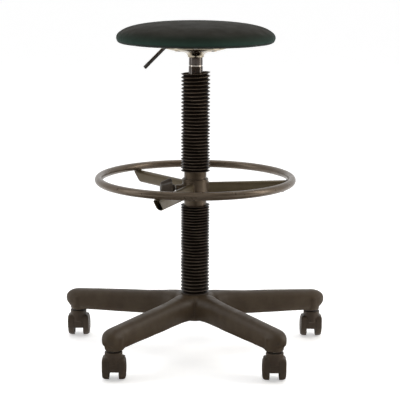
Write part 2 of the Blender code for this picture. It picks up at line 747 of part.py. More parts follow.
# ---------------------------------------------------------------- castors
def wheel_outline():
    """Barrel-shaped wheel about Z, outer face up, with a blind bore from its inner face."""
    bore = AXLE_R + GAP
    tread = WHEEL_R / math.cos(TAU / 2 / WHEEL_STEPS)    # the facets, not their corners, touch the floor
    return [
        (0, WHEEL_OUTER), (0.0130, WHEEL_OUTER), (0.0205, 0.0232), (0.0238, 0.0190), (tread, 0.0150),
        (tread, WHEEL_INNER + 0.0008), (0.0244, WHEEL_INNER), (bore, WHEEL_INNER), (bore, 0.0215), (0, 0.0215),
    ]


def hood_outline():
    """Section of the hood that wraps the wheels: crowned outside, with rounded shoulders."""
    half, flat = HOOD_HALF_WIDTH, 0.0175
    outer = [(0.0240, half), (HOOD_R, flat), (HOOD_R, -flat), (0.0240, -half)]
    inner = [(0.0230, -half + 0.0006), (HOOD_R - HOOD_WALL, -flat + 0.0008), (HOOD_R - HOOD_WALL, flat - 0.0008),
             (0.0230, half - 0.0006)]
    return outer + inner


def brow_mesh():
    """The housing's upright front, as wide as the wheels, with chamfered corners."""
    foot, top, chamfer = 0.0215, 0.0510, 0.0090
    rings = []
    for y, inset in ((-0.0165, 0.0020), (-0.0125, 0.0), (0.0120, 0.0)):
        wide, high = HOOD_HALF_WIDTH - 0.0007 - inset, top - 2 * inset
        rings.append([(-wide, y, foot), (wide, y, foot), (wide, y, high - chamfer), (wide - chamfer, y, high),
                      (chamfer - wide, y, high), (-wide, y, high - chamfer)])
    return lofted_mesh("brow", rings)


def castor_housing_mesh():
    """The housing's final mesh, worked out once and shared by the five castors."""
    place = {"location": (0, TRAIL, WHEEL_R), "rotation": (0, TAU / 4, 0)}
    hood = turned("housing_blank", hood_outline(), None, "castor_nylon", closed=True, steps=18, **place)
    half_web = WHEEL_INNER - 0.0006
    low_edge = 0.0200
    slack = 0.0600
    for side in (-1, 1):
        skirt = cube_mesh("skirt", (slack, 0.08, slack), (side * (half_web + slack / 2), TRAIL, low_edge - slack / 2))
        cut(hood, tool(f"skirt_{side}", skirt, None))
    open_rear = cube_mesh("open_rear", (0.08, 0.05, slack), (0, TRAIL + 0.025, WHEEL_R + 0.003 - slack / 2))
    cut(hood, tool("open_rear", open_rear, None))
    web = tool("web", cylinder_mesh("web", HOOD_R - 0.0008, 2 * half_web, (0, TRAIL, WHEEL_R), 18, "X"), None)
    neck_high = BOSS_BOTTOM - 0.0020
    neck = tool("neck", cylinder_mesh("neck", NECK_R, neck_high - 0.040, (0, 0, (neck_high + 0.040) / 2), 16), None)
    brow = tool("brow", brow_mesh(), None)
    for side in (-1, 1):
        centre = (side * (half_web + slack / 2), TRAIL, WHEEL_R)
        well = cylinder_mesh("well", HOOD_R - HOOD_WALL / 2, slack, centre, 18, "X")
        cut(neck, tool(f"wheel_well_{side}", well, None))
        brow_centre = (side * (half_web - 0.0002 + slack / 2), TRAIL, WHEEL_R)
        brow_well = cylinder_mesh("brow_well", HOOD_R - HOOD_WALL / 2 - 0.0002, slack, brow_centre, 18, "X")
        cut(brow, tool(f"brow_well_{side}", brow_well, None))
    join(hood, web, neck, brow)
    below = cube_mesh("below", (0.08, 0.12, slack), (0, 0, WEB_BOTTOM - slack / 2))
    axle_hole = cylinder_mesh("axle_hole", AXLE_R + GAP, 0.06, (0, TRAIL, WHEEL_R), 12, "X")
    stem_hole = cylinder_mesh("stem_hole", STEM_R + GAP, 0.06, (0, 0, 0.0460 + 0.03), 14)
    cut(hood, tool("below", below, None), tool("axle_hole", axle_hole, None), tool("stem_hole", stem_hole, None))
    bpy.context.view_layer.update()
    evaluated = hood.evaluated_get(bpy.context.evaluated_depsgraph_get())
    mesh = bpy.data.meshes.new_from_object(evaluated)
    mesh.name = "castor_housing"
    mesh.transform(hood.matrix_world)
    bpy.data.objects.remove(hood, do_unlink=True)
    return mesh


def make_castor(number, base, housing, axle, stem):
    swivel = add_empty(f"castor_{number}_swivel_axis", base, stem_place(number - 1))
    roll = add_empty(f"castor_{number}_roll_axis", swivel, (0, TRAIL, WHEEL_R))
    add_part(f"castor_{number}_housing", housing, swivel, "castor_nylon")
    add_part(f"castor_{number}_stem", stem, swivel, "bright_steel")
    add_part(f"castor_{number}_axle", axle, roll, "bright_steel")
    for name, turn in (("left", -TAU / 4), ("right", TAU / 4)):
        turned(f"castor_{number}_wheel_{name}", wheel_outline(), roll, "castor_nylon", steps=WHEEL_STEPS,
               spin=TAU / 2 / WHEEL_STEPS, rotation=(0, turn, 0))


def make_castors(base):
    housing = castor_housing_mesh()
    axle = cylinder_mesh("castor_axle", AXLE_R, 2 * 0.0212, segments=12, along="X")
    stem = cylinder_mesh("castor_stem", STEM_R, 0.1010 - 0.0463, (0, 0, (0.1010 + 0.0463) / 2), 14)
    for number in range(1, ARMS + 1):
        make_castor(number, base, housing, axle, stem)


# ---------------------------------------------------------------- assembly
def build():
    column = add_empty("column_axis", location=(0, COLUMN_Y, 0))
    make_base(column)
    make_column(column)
    make_gaiters(column)
    make_castors(column)

    swivel = add_empty("seat_swivel_axis", column)
    make_rod(swivel)
    lift = add_empty("seat_lift_axis", swivel)
    make_lift(lift)
    make_seat(lift)
    make_valve_pin(lift)
    mount = add_empty("lever_mount", lift, turn_z=LEVER_AZIMUTH)
    pivot = add_empty("lever_pivot_axis", mount, (LEVER_PIVOT, 0, LEVER_Z))
    make_lever(mount, pivot)

    slider = add_empty("ring_height_axis", column)
    ring = add_empty("ring_turn_axis", slider)
    make_ring(slider, ring)
    pad_axis = add_empty("clamp_pad_axis", ring, (0, 0, CLAMP_Z), CLAMP_AZIMUTH)
    knob_axis = add_empty("clamp_knob_axis", pad_axis)
    make_clamp(ring, pad_axis, knob_axis)


clear_scene()
PARTS = new_collection("adjustable_swivel_stool")
CUTTERS = new_collection("cutters")
MATERIALS = make_materials()
build()
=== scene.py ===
"""Looks of an adjustable swivel stool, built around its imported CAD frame. Metres, +Z up."""

import json
import math

import bmesh
import bpy
import numpy as np
from mathutils import Matrix, Vector
from mathutils.bvhtree import BVHTree


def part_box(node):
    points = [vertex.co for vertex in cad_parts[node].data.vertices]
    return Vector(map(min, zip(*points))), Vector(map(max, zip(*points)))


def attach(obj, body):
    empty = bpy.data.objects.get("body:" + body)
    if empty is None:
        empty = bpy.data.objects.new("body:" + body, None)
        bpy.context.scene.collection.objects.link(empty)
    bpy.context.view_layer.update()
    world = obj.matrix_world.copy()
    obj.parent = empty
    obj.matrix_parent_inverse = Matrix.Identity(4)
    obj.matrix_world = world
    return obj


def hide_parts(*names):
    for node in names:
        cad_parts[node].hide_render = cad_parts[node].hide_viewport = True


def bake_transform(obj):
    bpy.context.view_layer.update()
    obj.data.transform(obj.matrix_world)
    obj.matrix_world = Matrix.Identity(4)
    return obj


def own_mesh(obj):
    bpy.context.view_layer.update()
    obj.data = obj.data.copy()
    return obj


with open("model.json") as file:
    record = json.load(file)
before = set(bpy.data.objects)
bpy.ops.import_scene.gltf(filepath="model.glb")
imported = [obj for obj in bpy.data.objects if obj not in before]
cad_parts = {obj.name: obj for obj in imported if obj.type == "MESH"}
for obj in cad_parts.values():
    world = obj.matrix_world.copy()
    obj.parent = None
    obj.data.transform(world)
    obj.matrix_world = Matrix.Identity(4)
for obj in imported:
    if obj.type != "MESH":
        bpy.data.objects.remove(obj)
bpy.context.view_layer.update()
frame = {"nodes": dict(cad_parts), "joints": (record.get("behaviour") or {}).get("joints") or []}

TAU = math.tau
JOINTS = {joint["name"]: joint for joint in frame["joints"]}
SWIVEL = Vector(JOINTS["seat_swivel"]["pos_m"])
AXIS = Vector((SWIVEL.x, SWIVEL.y, 0))        # the column's axis at the floor
STEPS = 96                                    # facets round a turned piece
GAP = 0.0003                                  # clearance between pieces that touch


# ---------------------------------------------------------------- places read from the frame
def low(node):
    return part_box(node)[0]


def high(node):
    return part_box(node)[1]


def reach(node):
    """Radius of a node that is turned about the column's axis."""
    return high(node).x - AXIS.x


def span(node):
    """Lowest and highest point of a node."""
    return low(node).z, high(node).z


def centre(node):
    return (low(node) + high(node)) / 2


# ---------------------------------------------------------------- outlines
def rounded(corners, closed=True, steps=4):
    """An outline from (x, y, radius) corners. A corner with a radius becomes an arc."""
    points = []
    count = len(corners)
    for i, (x, y, radius) in enumerate(corners):
        here = Vector((x, y))
        if radius <= 0 or (not closed and i in (0, count - 1)):
            points.append((x, y))
            continue
        before = (Vector(corners[i - 1][:2]) - here)
        after = (Vector(corners[(i + 1) % count][:2]) - here)
        turn = before.angle(after)
        back = min(radius / math.tan(turn / 2), 0.49 * before.length, 0.49 * after.length)
        start, end = here + before.normalized() * back, here + after.normalized() * back
        for k in range(steps + 1):
            t = k / steps
            point = start * (1 - t) ** 2 + here * (2 * t * (1 - t)) + end * t ** 2
            points.append((point.x, point.y))
    return points


def superellipse(half_width, half_height, power, count):
    points = []
    for i in range(count):
        angle = TAU * i / count
        across, up = math.cos(angle), math.sin(angle)
        points.append((half_width * math.copysign(abs(across) ** (2 / power), across),
                       half_height * math.copysign(abs(up) ** (2 / power), up)))
    return points


# ---------------------------------------------------------------- meshes
def add(name, data):
    """A new object in the scene."""
    thing = bpy.data.objects.new(name, data)
    bpy.context.scene.collection.objects.link(thing)
    return thing


def grid_faces(rows, count, wrapped=False):
    """Quads between rows of count points, each row closed; wrapped joins the last row to the first."""
    faces = []
    for row in range(rows if wrapped else rows - 1):
        here, there = row * count, (row + 1) % rows * count
        for i in range(count):
            j = (i + 1) % count
            faces.append((here + i, here + j, there + j, there + i))
    return faces


def about_z(angle):
    return Matrix.Rotation(angle, 4, "Z")


def spin(along, angle):
    """The unit turn of a point at an angle, as (cos, sin), times a length."""
    return along * math.cos(angle), along * math.sin(angle)


def make(name, vertices, faces, material=None, smooth=True):
    mesh = bpy.data.meshes.new(name)
    mesh.from_pydata([tuple(v) for v in vertices], [], faces)
    mesh.validate()
    bm = bmesh.new()
    bm.from_mesh(mesh)
    bmesh.ops.recalc_face_normals(bm, faces=bm.faces)
    bm.to_mesh(mesh)
    bm.free()
    thing = add(name, mesh)
    if material:
        mesh.materials.append(material)
    if smooth:
        mesh.shade_smooth()
        mesh.set_sharp_from_angle(angle=math.radians(38))
    return thing


def lathe(name, outline, material=None, closed=True, steps=STEPS, shape=None):
    """Turns (radius, height) points about Z. shape(angle, r, z) may move each point."""
    vertices, rows = [], []
    for r, z in outline:
        if r < 1e-7:
            rows.append([len(vertices)] * steps)
            vertices.append((0, 0, z))
            continue
        rows.append(list(range(len(vertices), len(vertices) + steps)))
        for k in range(steps):
            angle = TAU * k / steps
            rr, zz = shape(angle, r, z) if shape else (r, z)
            vertices.append((rr * math.cos(angle), rr * math.sin(angle), zz))
    pairs = list(zip(rows, rows[1:]))
    if closed:
        pairs.append((rows[-1], rows[0]))
    faces = []
    for one, two in pairs:
        for k in range(steps):
            j = (k + 1) % steps
            face = list(dict.fromkeys((one[k], one[j], two[j], two[k])))
            if len(face) > 2:
                faces.append(face)
    return make(name, vertices, faces, material)


def turned(name, corners, material=None, steps=STEPS):
    """A solid turned about Z from the corners of its half section, which starts and ends on the axis."""
    return lathe(name, rounded(corners, closed=False), material, closed=False, steps=steps)


def loft(name, rings, material=None, capped=True):
    """A skin over rings of points, all of one count, closed at both ends unless capped is off."""
    count = len(rings[0])
    vertices = [point for ring in rings for point in ring]
    faces = grid_faces(len(rings), count)
    if capped:
        faces.append(list(range(count)))
        faces.append([len(vertices) - count + i for i in range(count)])
    return make(name, vertices, faces, material)


def tube(name, path, radii, material=None, count=20):
    """A round rod along a path, with a radius for each point."""
    rings = []
    side = None
    for i, point in enumerate(path):
        ahead = (path[min(i + 1, len(path) - 1)] - path[max(i - 1, 0)]).normalized()
        if side is None:
            side = ahead.orthogonal().normalized()
        side = (side - ahead * side.dot(ahead)).normalized()
        other = ahead.cross(side)
        turns = [TAU * k / count for k in range(count)]
        rings.append([point + radii[i] * (side * math.cos(turn) + other * math.sin(turn)) for turn in turns])
    return loft(name, rings, material)


def block(name, size, centre, turn=None):
    bm = bmesh.new()
    bmesh.ops.create_cube(bm, size=1.0, matrix=Matrix.Translation(centre) @ Matrix.Diagonal((*size, 1)))
    mesh = bpy.data.meshes.new(name)
    bm.to_mesh(mesh)
    bm.free()
    if turn is not None:
        mesh.transform(turn)
    return add(name, mesh)


def rod(name, radius, start, end, count=24):
    return tube(name, [Vector(start), Vector(end)], [radius, radius], count=count)


def settle(thing):
    """Applies every modifier of a piece."""
    bpy.context.view_layer.update()
    evaluated = thing.evaluated_get(bpy.context.evaluated_depsgraph_get())
    mesh = bpy.data.meshes.new_from_object(evaluated)
    old = thing.data
    thing.modifiers.clear()
    thing.data = mesh
    mesh.name = thing.name
    bpy.data.meshes.remove(old)
    return thing


def merged(name, things):
    """One object made of several, which are removed."""
    bm = bmesh.new()
    for thing in things:
        extra = thing.data.copy()
        extra.transform(thing.matrix_world)
        bm.from_mesh(extra)
        bpy.data.meshes.remove(extra)
        bpy.data.objects.remove(thing)
    mesh = bpy.data.meshes.new(name)
    bm.to_mesh(mesh)
    bm.free()
    return add(name, mesh)


def voxel_remesh(thing, size):
    remesh = thing.modifiers.new("remesh", "REMESH")
    remesh.mode = "VOXEL"
    remesh.voxel_size = size


def soften(thing, times, group=""):
    """Smooths a piece, or only its vertex group."""
    smooth = thing.modifiers.new("soften", "SMOOTH")
    smooth.iterations = times
    smooth.factor = 0.5
    smooth.vertex_group = group


def fused(name, things, voxel, smoothing):
    """Melts overlapping bodies into one skin with soft fillets."""
    whole = merged(name, things)
    voxel_remesh(whole, voxel)
    soften(whole, smoothing)
    return settle(whole)


def carve(thing, cutters, sharp=38):
    """Cuts closed bodies out of a closed piece."""
    tool = merged("cutter", cutters)
    cut = thing.modifiers.new("cut", "BOOLEAN")
    cut.operation = "DIFFERENCE"
    cut.solver = "MANIFOLD"
    cut.object = tool
    settle(thing)
    bpy.data.objects.remove(tool)
    thing.data.shade_smooth()
    thing.data.set_sharp_from_angle(angle=math.radians(sharp))
    return thing


def dress(thing, material):
    thing.data.materials.clear()
    thing.data.materials.append(material)
    return thing


def place(thing, body, nodes=(), location=AXIS, turn=0.0):
    """Puts a piece where it belongs, rides it on its body and says which CAD nodes it stands for."""
    thing.location = location
    thing.rotation_euler = (0, 0, turn)
    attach(thing, body)
    if nodes:
        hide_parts(*nodes)
    return thing


# ---------------------------------------------------------------- materials
class Shader:
    """A Principled material whose colour, roughness and relief come from nodes."""

    def __init__(self, name, **constants):
        self.material = bpy.data.materials.new(name)
        self.material.use_nodes = True
        self.tree = self.material.node_tree
        self.body = self.tree.nodes["Principled BSDF"]
        self.where = self.tree.nodes.new("ShaderNodeTexCoord").outputs["Object"]
        for socket, value in constants.items():
            self.body.inputs[socket.replace("_", " ")].default_value = value

    def node(self, kind, links=None, **settings):
        made = self.tree.nodes.new("ShaderNode" + kind)
        for key, value in settings.items():
            if key in made.inputs:
                made.inputs[key].default_value = value
            else:
                setattr(made, key, value)
        for key, source in (links or {}).items():
            self.tree.links.new(source, made.inputs[key])
        return made

    def noise(self, scale, detail=3.0, rough=0.5, vector=None):
        settings = {"Scale": scale, "Detail": detail, "Roughness": rough}
        return self.node("TexNoise", {"Vector": vector or self.where}, **settings).outputs["Fac"]

    def cells(self, scale, feature="F1"):
        made = self.node("TexVoronoi", {"Vector": self.where}, Scale=scale, feature=feature)
        return made.outputs["Distance"]

    def stretched(self, x, y, z):
        made = self.node("Mapping", {"Vector": self.where})
        made.inputs["Scale"].default_value = (x, y, z)
        return made.outputs["Vector"]

    def ramp(self, value, *stops):
        made = self.node("ValToRGB", {"Fac": value})
        elements = made.color_ramp.elements
        for i, (position, colour) in enumerate(stops):
            stop = elements[i] if i < 2 else elements.new(position)
            stop.position = position
            stop.color = (*colour, 1) if hasattr(colour, "__len__") else (colour, colour, colour, 1)
        return made.outputs["Color"]

    def spread(self, value, low_out, high_out, low_in=0.3, high_in=0.7):
        made = self.node("MapRange", {"Value": value})
        sockets = "From Min", "From Max", "To Min", "To Max"
        for socket, number in zip(sockets, (low_in, high_in, low_out, high_out)):
            made.inputs[socket].default_value = number
        return made.outputs["Result"]

    def mix(self, amount, one, two, blend="MIX"):
        made = self.node("Mix", data_type="RGBA", blend_type=blend)
        for index, source in ((0, amount), (6, one), (7, two)):
            if hasattr(source, "links"):
                self.tree.links.new(source, made.inputs[index])
            elif index == 0:
                made.inputs[index].default_value = source
            else:
                made.inputs[index].default_value = (*source, 1)
        return made.outputs[2]

    def maths(self, operation, one, two=0.0):
        made = self.node("Math", operation=operation)
        for index, source in enumerate((one, two)):
            if hasattr(source, "links"):
                self.tree.links.new(source, made.inputs[index])
            else:
                made.inputs[index].default_value = source
        return made.outputs[0]

    def edges(self, start, end):
        """0 on flats to 1 on worn outer edges."""
        geometry = self.node("NewGeometry")
        return self.spread(geometry.outputs["Pointiness"], 0.0, 1.0, start, end)

    def axes(self):
        return self.node("SeparateXYZ", {"Vector": self.where}).outputs

    def colour(self, source):
        self.tree.links.new(source, self.body.inputs["Base Color"])

    def roughness(self, source):
        self.tree.links.new(source, self.body.inputs["Roughness"])

    def relief(self, *layers):
        """Layers of (height source, height in metres)."""
        normal = None
        for height, distance in layers:
            bump = self.node("Bump", {"Height": height}, Distance=distance, Strength=1.0)
            if normal is not None:
                self.tree.links.new(normal, bump.inputs["Normal"])
            normal = bump.outputs["Normal"]
        self.tree.links.new(normal, self.body.inputs["Normal"])


def moulded_plastic(name, dark, light, worn, rough=0.5, grain=0.00006, shine=0.30):
    """Spark-eroded nylon: mottled colour, fine grain and paler rubbed edges."""
    s = Shader(name, Specular_IOR_Level=shine)
    base = s.ramp(s.noise(28, 4.0, 0.6), (0.35, dark), (0.65, light))
    rubbed = s.maths("MULTIPLY", s.edges(0.515, 0.60), s.spread(s.noise(120), 0.1, 0.7))
    s.colour(s.mix(rubbed, base, worn))
    s.roughness(s.spread(s.noise(60, 5.0), rough - 0.07, rough + 0.10))
    s.relief((s.noise(1900, 2.0), grain), (s.noise(90, 2.0), 0.00005))
    return s.material


def powder_coat(name, dark, light, rough=0.30, metallic=0.55):
    """Satin powder paint on steel: orange peel, faint clouding, and edges rubbed paler."""
    s = Shader(name, Metallic=metallic, Specular_IOR_Level=0.3, Coat_Weight=0.06, Coat_Roughness=0.12)
    base = s.ramp(s.noise(22, 3.0), (0.3, dark), (0.7, light))
    worn = tuple(min(1.0, c * 1.7 + 0.015) for c in light)
    s.colour(s.mix(s.maths("MULTIPLY", s.edges(0.53, 0.62), 0.5), base, worn))
    s.roughness(s.spread(s.noise(75, 4.0), rough - 0.05, rough + 0.09))
    s.relief((s.noise(950, 1.0), 0.00001), (s.noise(320, 1.0), 0.00002))
    return s.material


def plated_steel(name, tint, rough):
    """Plated steel with drawn or turned marks and a little tarnish."""
    s = Shader(name, Metallic=1.0)
    marks = s.noise(700, 2.0, vector=s.stretched(1, 1, 1))
    dull = tuple(c * 0.62 for c in tint)
    s.colour(s.ramp(s.noise(70, 4.0), (0.3, dull), (0.6, tint)))
    s.roughness(s.spread(marks, rough - 0.06, rough + 0.12))
    s.relief((marks, 0.00002))
    return s.material


def leatherette():
    """Coated fabric with a fine pebbled grain, greener down the sides, warmer on top as painted warm sheen,
    and darker at the lower edge as painted shade.
    """
    s = Shader("leatherette", Specular_IOR_Level=0.07)
    # painted light: the warmer top colour is painted warm sheen where light falls on the crown; the green of
    # the sides is the cover's own colour
    height = s.spread(s.axes()[2], 0.0, 1.0, SEAT_LOW + 0.006, SEAT_LOW + 0.030)
    top = s.ramp(s.noise(16, 3.0), (0.3, (0.0138, 0.0128, 0.0088)), (0.7, (0.0178, 0.0163, 0.0115)))
    side = s.ramp(s.noise(16, 3.0), (0.3, (0.0120, 0.0300, 0.0225)), (0.7, (0.0155, 0.0350, 0.0270)))
    # painted shade: the cover darkens towards its lower edge, where it gets no light
    hem = s.spread(s.axes()[2], 0.0, 1.0, SEAT_LOW + 0.0035, SEAT_LOW + 0.0085)
    s.colour(s.mix(hem, (0.0075, 0.0115, 0.0090), s.mix(height, side, top)))
    pebble = s.cells(620, "SMOOTH_F1")
    s.roughness(s.spread(s.noise(40, 4.0), 0.62, 0.74))
    s.relief((pebble, 0.00018), (s.noise(1500, 2.0), 0.00005), (s.noise(55, 2.0), 0.00020))
    return s.material


def rubber():
    """Gaiter rubber: black in the folds, darkened there as painted shade, brown-grey on the crests as dust
    with a painted highlight.
    """
    s = Shader("rubber", Specular_IOR_Level=0.2)
    x = s.maths("SUBTRACT", s.axes()[0], AXIS.x)
    y = s.maths("SUBTRACT", s.axes()[1], AXIS.y)
    radius = s.maths("SQRT", s.maths("ADD", s.maths("MULTIPLY", x, x), s.maths("MULTIPLY", y, y)))
    # painted light: the radius mask darkens the folds as painted shade and makes the crests paler as dust
    # with a painted highlight
    crest = s.spread(radius, 0.0, 1.0, GAITER_CREST - 0.0015, GAITER_CREST - 0.0003)
    crest_dust_and_highlight = s.ramp(s.noise(45, 5.0, 0.7), (0.35, (0.075, 0.058, 0.043)), (0.7, (0.130, 0.104, 0.080)))
    s.colour(s.mix(crest, (0.0085, 0.0052, 0.0034), crest_dust_and_highlight))
    s.roughness(s.spread(s.noise(130, 3.0), 0.36, 0.52))
    s.relief((s.noise(1400, 2.0), 0.00004), (s.noise(200, 2.0), 0.00008))
    return s.material


def gloss_tube():
    """Black-brown stoved paint on the lift's tube, with faint draw lines down it."""
    s = Shader("gloss_tube", Metallic=0.3, Coat_Weight=0.35, Coat_Roughness=0.06)
    s.colour(s.ramp(s.noise(30, 3.0), (0.3, (0.026, 0.014, 0.007)), (0.7, (0.042, 0.025, 0.013))))
    lines = s.noise(900, 1.0, vector=s.stretched(1, 1, 0.02))
    s.roughness(s.spread(lines, 0.12, 0.24))
    s.relief((lines, 0.00001))
    return s.material


def plywood():
    """Bare birch ply: long grain on the faces and bands of veneer on the edge."""
    s = Shader("plywood", Specular_IOR_Level=0.3)
    grain = s.noise(70, 5.0, 0.6, vector=s.stretched(0.09, 1, 1))
    figure = s.ramp(grain, (0.30, (0.36, 0.23, 0.13)), (0.55, (0.56, 0.40, 0.24)), (0.75, (0.62, 0.46, 0.29)))
    bands = s.node("TexWave", {"Vector": s.where}, Scale=110.0, Distortion=0.6, bands_direction="Z")
    veneer = s.ramp(bands.outputs["Fac"], (0.35, (0.30, 0.19, 0.11)), (0.6, (0.6, 0.45, 0.28)))
    s.colour(s.mix(0.35, figure, veneer, "MULTIPLY"))
    s.roughness(s.spread(s.noise(200, 3.0), 0.55, 0.75))
    s.relief((grain, 0.00010))
    return s.material


def foam():
    s = Shader("foam", Sheen_Weight=0.2)
    s.colour(s.ramp(s.noise(60, 4.0), (0.3, (0.60, 0.52, 0.30)), (0.7, (0.74, 0.67, 0.45))))
    s.relief((s.cells(900), 0.0003))
    s.roughness(s.spread(s.noise(80), 0.8, 0.95))
    return s.material


# ---------------------------------------------------------------- driving sizes
SEAT_LOW = low("seat_cover").z
SEAT_TOP = high("seat_cover").z
SEAT_R = reach("seat_cover")
BOARD_LOW, BOARD_HIGH = span("seat_board")
BOARD_R = reach("seat_board")
COLUMN_R = reach("column_tube")
COLUMN_BORE_R = COLUMN_R - 0.0015
TUBE_R = reach("pressure_tube")
TUBE_BORE_R = TUBE_R - 0.00225
GAITER_CREST = reach("upper_gaiter")
GAITER_BORE = COLUMN_R + 0.0005
GAITER_ROOT = GAITER_BORE + 0.0005
HUB_R = reach("ring_hub")
HUB_BORE_R = HUB_R - 0.0022
RING_TUBE_R = (high("foot_ring").z - low("foot_ring").z) / 2
RING_R = (high("foot_ring").x - low("foot_ring").x) / 2 - RING_TUBE_R
RING_Z = (high("foot_ring").z + low("foot_ring").z) / 2
BASE_TOP = high("star_base").z
BASE_LOW = low("star_base").z
CLAMP = Vector(JOINTS["clamp_knob_turn"]["axis"])
CLAMP_TURN = math.atan2(CLAMP.y, CLAMP.x)
CLAMP_Z = JOINTS["clamp_knob_turn"]["pos_m"][2]
PIVOT = Vector(JOINTS["lever_pivot"]["pos_m"])
LEVER_TURN = math.atan2(PIVOT.y - AXIS.y, PIVOT.x - AXIS.x)
LEVER_R = 0.0040
STEMS = [Vector(JOINTS[f"castor_{n}_swivel"]["pos_m"]) for n in range(1, 6)]
STEM_CIRCLE_R = (STEMS[0] - AXIS).xy.length
ROLL = Vector(JOINTS["castor_1_left_roll"]["pos_m"])
WHEEL_R = ROLL.z
TRAIL = ROLL.y - STEMS[0].y


def azimuth(point):
    return math.atan2(point.y - AXIS.y, point.x - AXIS.x)


# ---------------------------------------------------------------- five-star base
ARM_NOSE = 0.0290            # how far an arm's rounded end reaches past the castor's stem
NOSE_LENGTH = 0.0300
NOSE_Z = 0.0940              # height of the nose's foremost point
BOSS_R = 0.0205
ARM_END = STEM_CIRCLE_R + ARM_NOSE
HUB_LOW = 0.0782
# (distance from the column's axis, size) along an arm
ARM_TOP = ((0.030, 0.1325), (0.058, 0.1315), (0.072, 0.1302), (0.120, 0.1260), (0.172, 0.1234),
           (0.240, 0.1190), (0.290, 0.1155), (ARM_END, 0.1135))
ARM_UNDER = ((0.030, 0.0790), (0.065, 0.0785), (0.140, 0.0748), (0.270, 0.0710), (ARM_END, 0.0706))
ARM_HALF = ((0.020, 0.0160), (0.034, 0.0255), (0.046, 0.0318), (0.060, 0.0262), (0.078, 0.0224),
            (0.100, 0.0214), (0.280, 0.0200))
# (start, end, ceiling) of the hollows under an arm, from the hub outwards
ARM_HOLLOWS = ((0.060, 0.083, 0.112), (0.087, 0.118, 0.111), (0.122, 0.160, 0.109), (0.164, 0.206, 0.108),
               (0.210, 0.260, 0.106))


def between(x, stops):
    """The value at x on straight runs between stops."""
    return float(np.interp(x, [stop[0] for stop in stops], [stop[1] for stop in stops]))


def arm_section(x):
    """Section of an arm: domed above, full at the sides and level below, and rounded off at the nose."""
    droop = max(0.0, (x - (ARM_END - NOSE_LENGTH)) / NOSE_LENGTH)
    shrink = max(0.02, math.sqrt(max(0.0, 1 - droop ** 2.5)))
    half = between(x, ARM_HALF) * shrink
    top = NOSE_Z + (between(x, ARM_TOP) - NOSE_Z) * shrink
    under = NOSE_Z - (NOSE_Z - between(x, ARM_UNDER)) * shrink * (1 - 0.40 * droop)
    middle = under + 0.42 * (top - under)
    ring = []
    for across, up in superellipse(half, 1.0, 2.6, 32):
        z = middle + up * ((top - middle) if up > 0 else 1.5 * (middle - under))
        ring.append(Vector((x, across, max(z, under))))
    return ring


def arm_rings():
    """Sections of one arm along +X, from inside the hub to the rounded nose."""
    rings = []
    straight = ARM_END - NOSE_LENGTH
    for i in range(22):
        rings.append(arm_section(0.020 + (straight - 0.020) * i / 21))
    for i in range(1, 13):
        rings.append(arm_section(straight + NOSE_LENGTH * math.sin(TAU / 4 * i / 12) * 0.9985))
    return rings


def base_body():
    """Hub, arms and castor bosses, melted together with soft fillets."""
    bodies = [turned("hub", [
        (0, BASE_TOP, 0), (0.0370, BASE_TOP, 0.002), (0.0430, 0.1290, 0.010), (0.0480, 0.1080, 0.030),
        (0.0530, HUB_LOW, 0.002), (0, HUB_LOW, 0),
    ], steps=64)]
    for stem in STEMS:
        arm = loft("arm", arm_rings())
        boss = turned("boss", [
            (0, 0.100, 0), (BOSS_R + 0.0008, 0.100, 0.002), (BOSS_R, BASE_LOW, 0.0012), (0, BASE_LOW, 0),
        ], steps=40)
        boss.data.transform(Matrix.Translation((STEM_CIRCLE_R - 0.0025, 0, 0)))
        for thing in (arm, boss):
            thing.data.transform(about_z(azimuth(stem)))
            bodies.append(thing)
    base = fused("base_body", bodies, 0.0020, 6)
    # the valleys between the arms are filled with broad fillets, so they get more softening
    group = base.vertex_groups.new(name="valleys")
    for vertex in base.data.vertices:
        away = vertex.co.xy.length
        from_valley = abs((math.atan2(vertex.co.y, vertex.co.x) - azimuth(STEMS[0])) % (TAU / 5) - TAU / 10)
        weight = min(1.0, max(0.0, (0.100 - away) / 0.030)) * max(0.0, 1 - from_valley / math.radians(24))
        if weight > 0 and HUB_LOW + 0.0005 < vertex.co.z < BASE_TOP - 0.001:
            group.add([vertex.index], weight, "REPLACE")
    soften(base, 30, "valleys")
    return settle(base)


def pocket(start, end, half, ceiling):
    """A hollow under an arm, with rounded corners and a little draft."""
    rings = []
    for z, grow in ((0.050, 0.0012), (ceiling - 0.004, 0.0), (ceiling, -0.003)):
        outline = superellipse((end - start) / 2 + grow, half + grow, 7, 32)
        rings.append([Vector(((start + end) / 2 + x, y, z)) for x, y in outline])
    return loft("pocket", rings)


def make_base():
    """Five-arm moulding with its hollows and bores, its parting lines and the castors' sockets."""
    base = base_body()
    bore = COLUMN_R + GAP
    hollows = [lathe("column_hole", [(0, 0.2), (bore, 0.2), (bore, 0.02), (0, 0.02)], closed=False, steps=64)]
    for stem in STEMS:
        turn = about_z(azimuth(stem))
        hole = rod("stem_hole", 0.0060, (STEM_CIRCLE_R, 0, 0.030), (STEM_CIRCLE_R, 0, 0.104))
        cells = [hole] + [pocket(start, end, 0.0140, ceiling) for start, end, ceiling in ARM_HOLLOWS]
        for cell in cells:
            cell.data.transform(turn)
        hollows += cells
    carve(base, hollows, sharp=50)
    base.name = "base_moulding"
    dress(base, NYLON)
    skin = BVHTree.FromObject(base, bpy.context.evaluated_depsgraph_get())
    place(base, "base", ["star_base"])
    make_parting_lines(skin)
    for n, stem in enumerate(STEMS, 1):
        socket = lathe(f"castor_socket_{n}", rounded([
            (0.0091, 0.0690, 0.0004), (0.0091, 0.0676, 0.0004), (0.0057, 0.0676, 0.0002),
            (0.0057, 0.0690, 0.0002),
        ]), ZINC, steps=40)
        place(socket, "base", location=(stem.x, stem.y, 0))


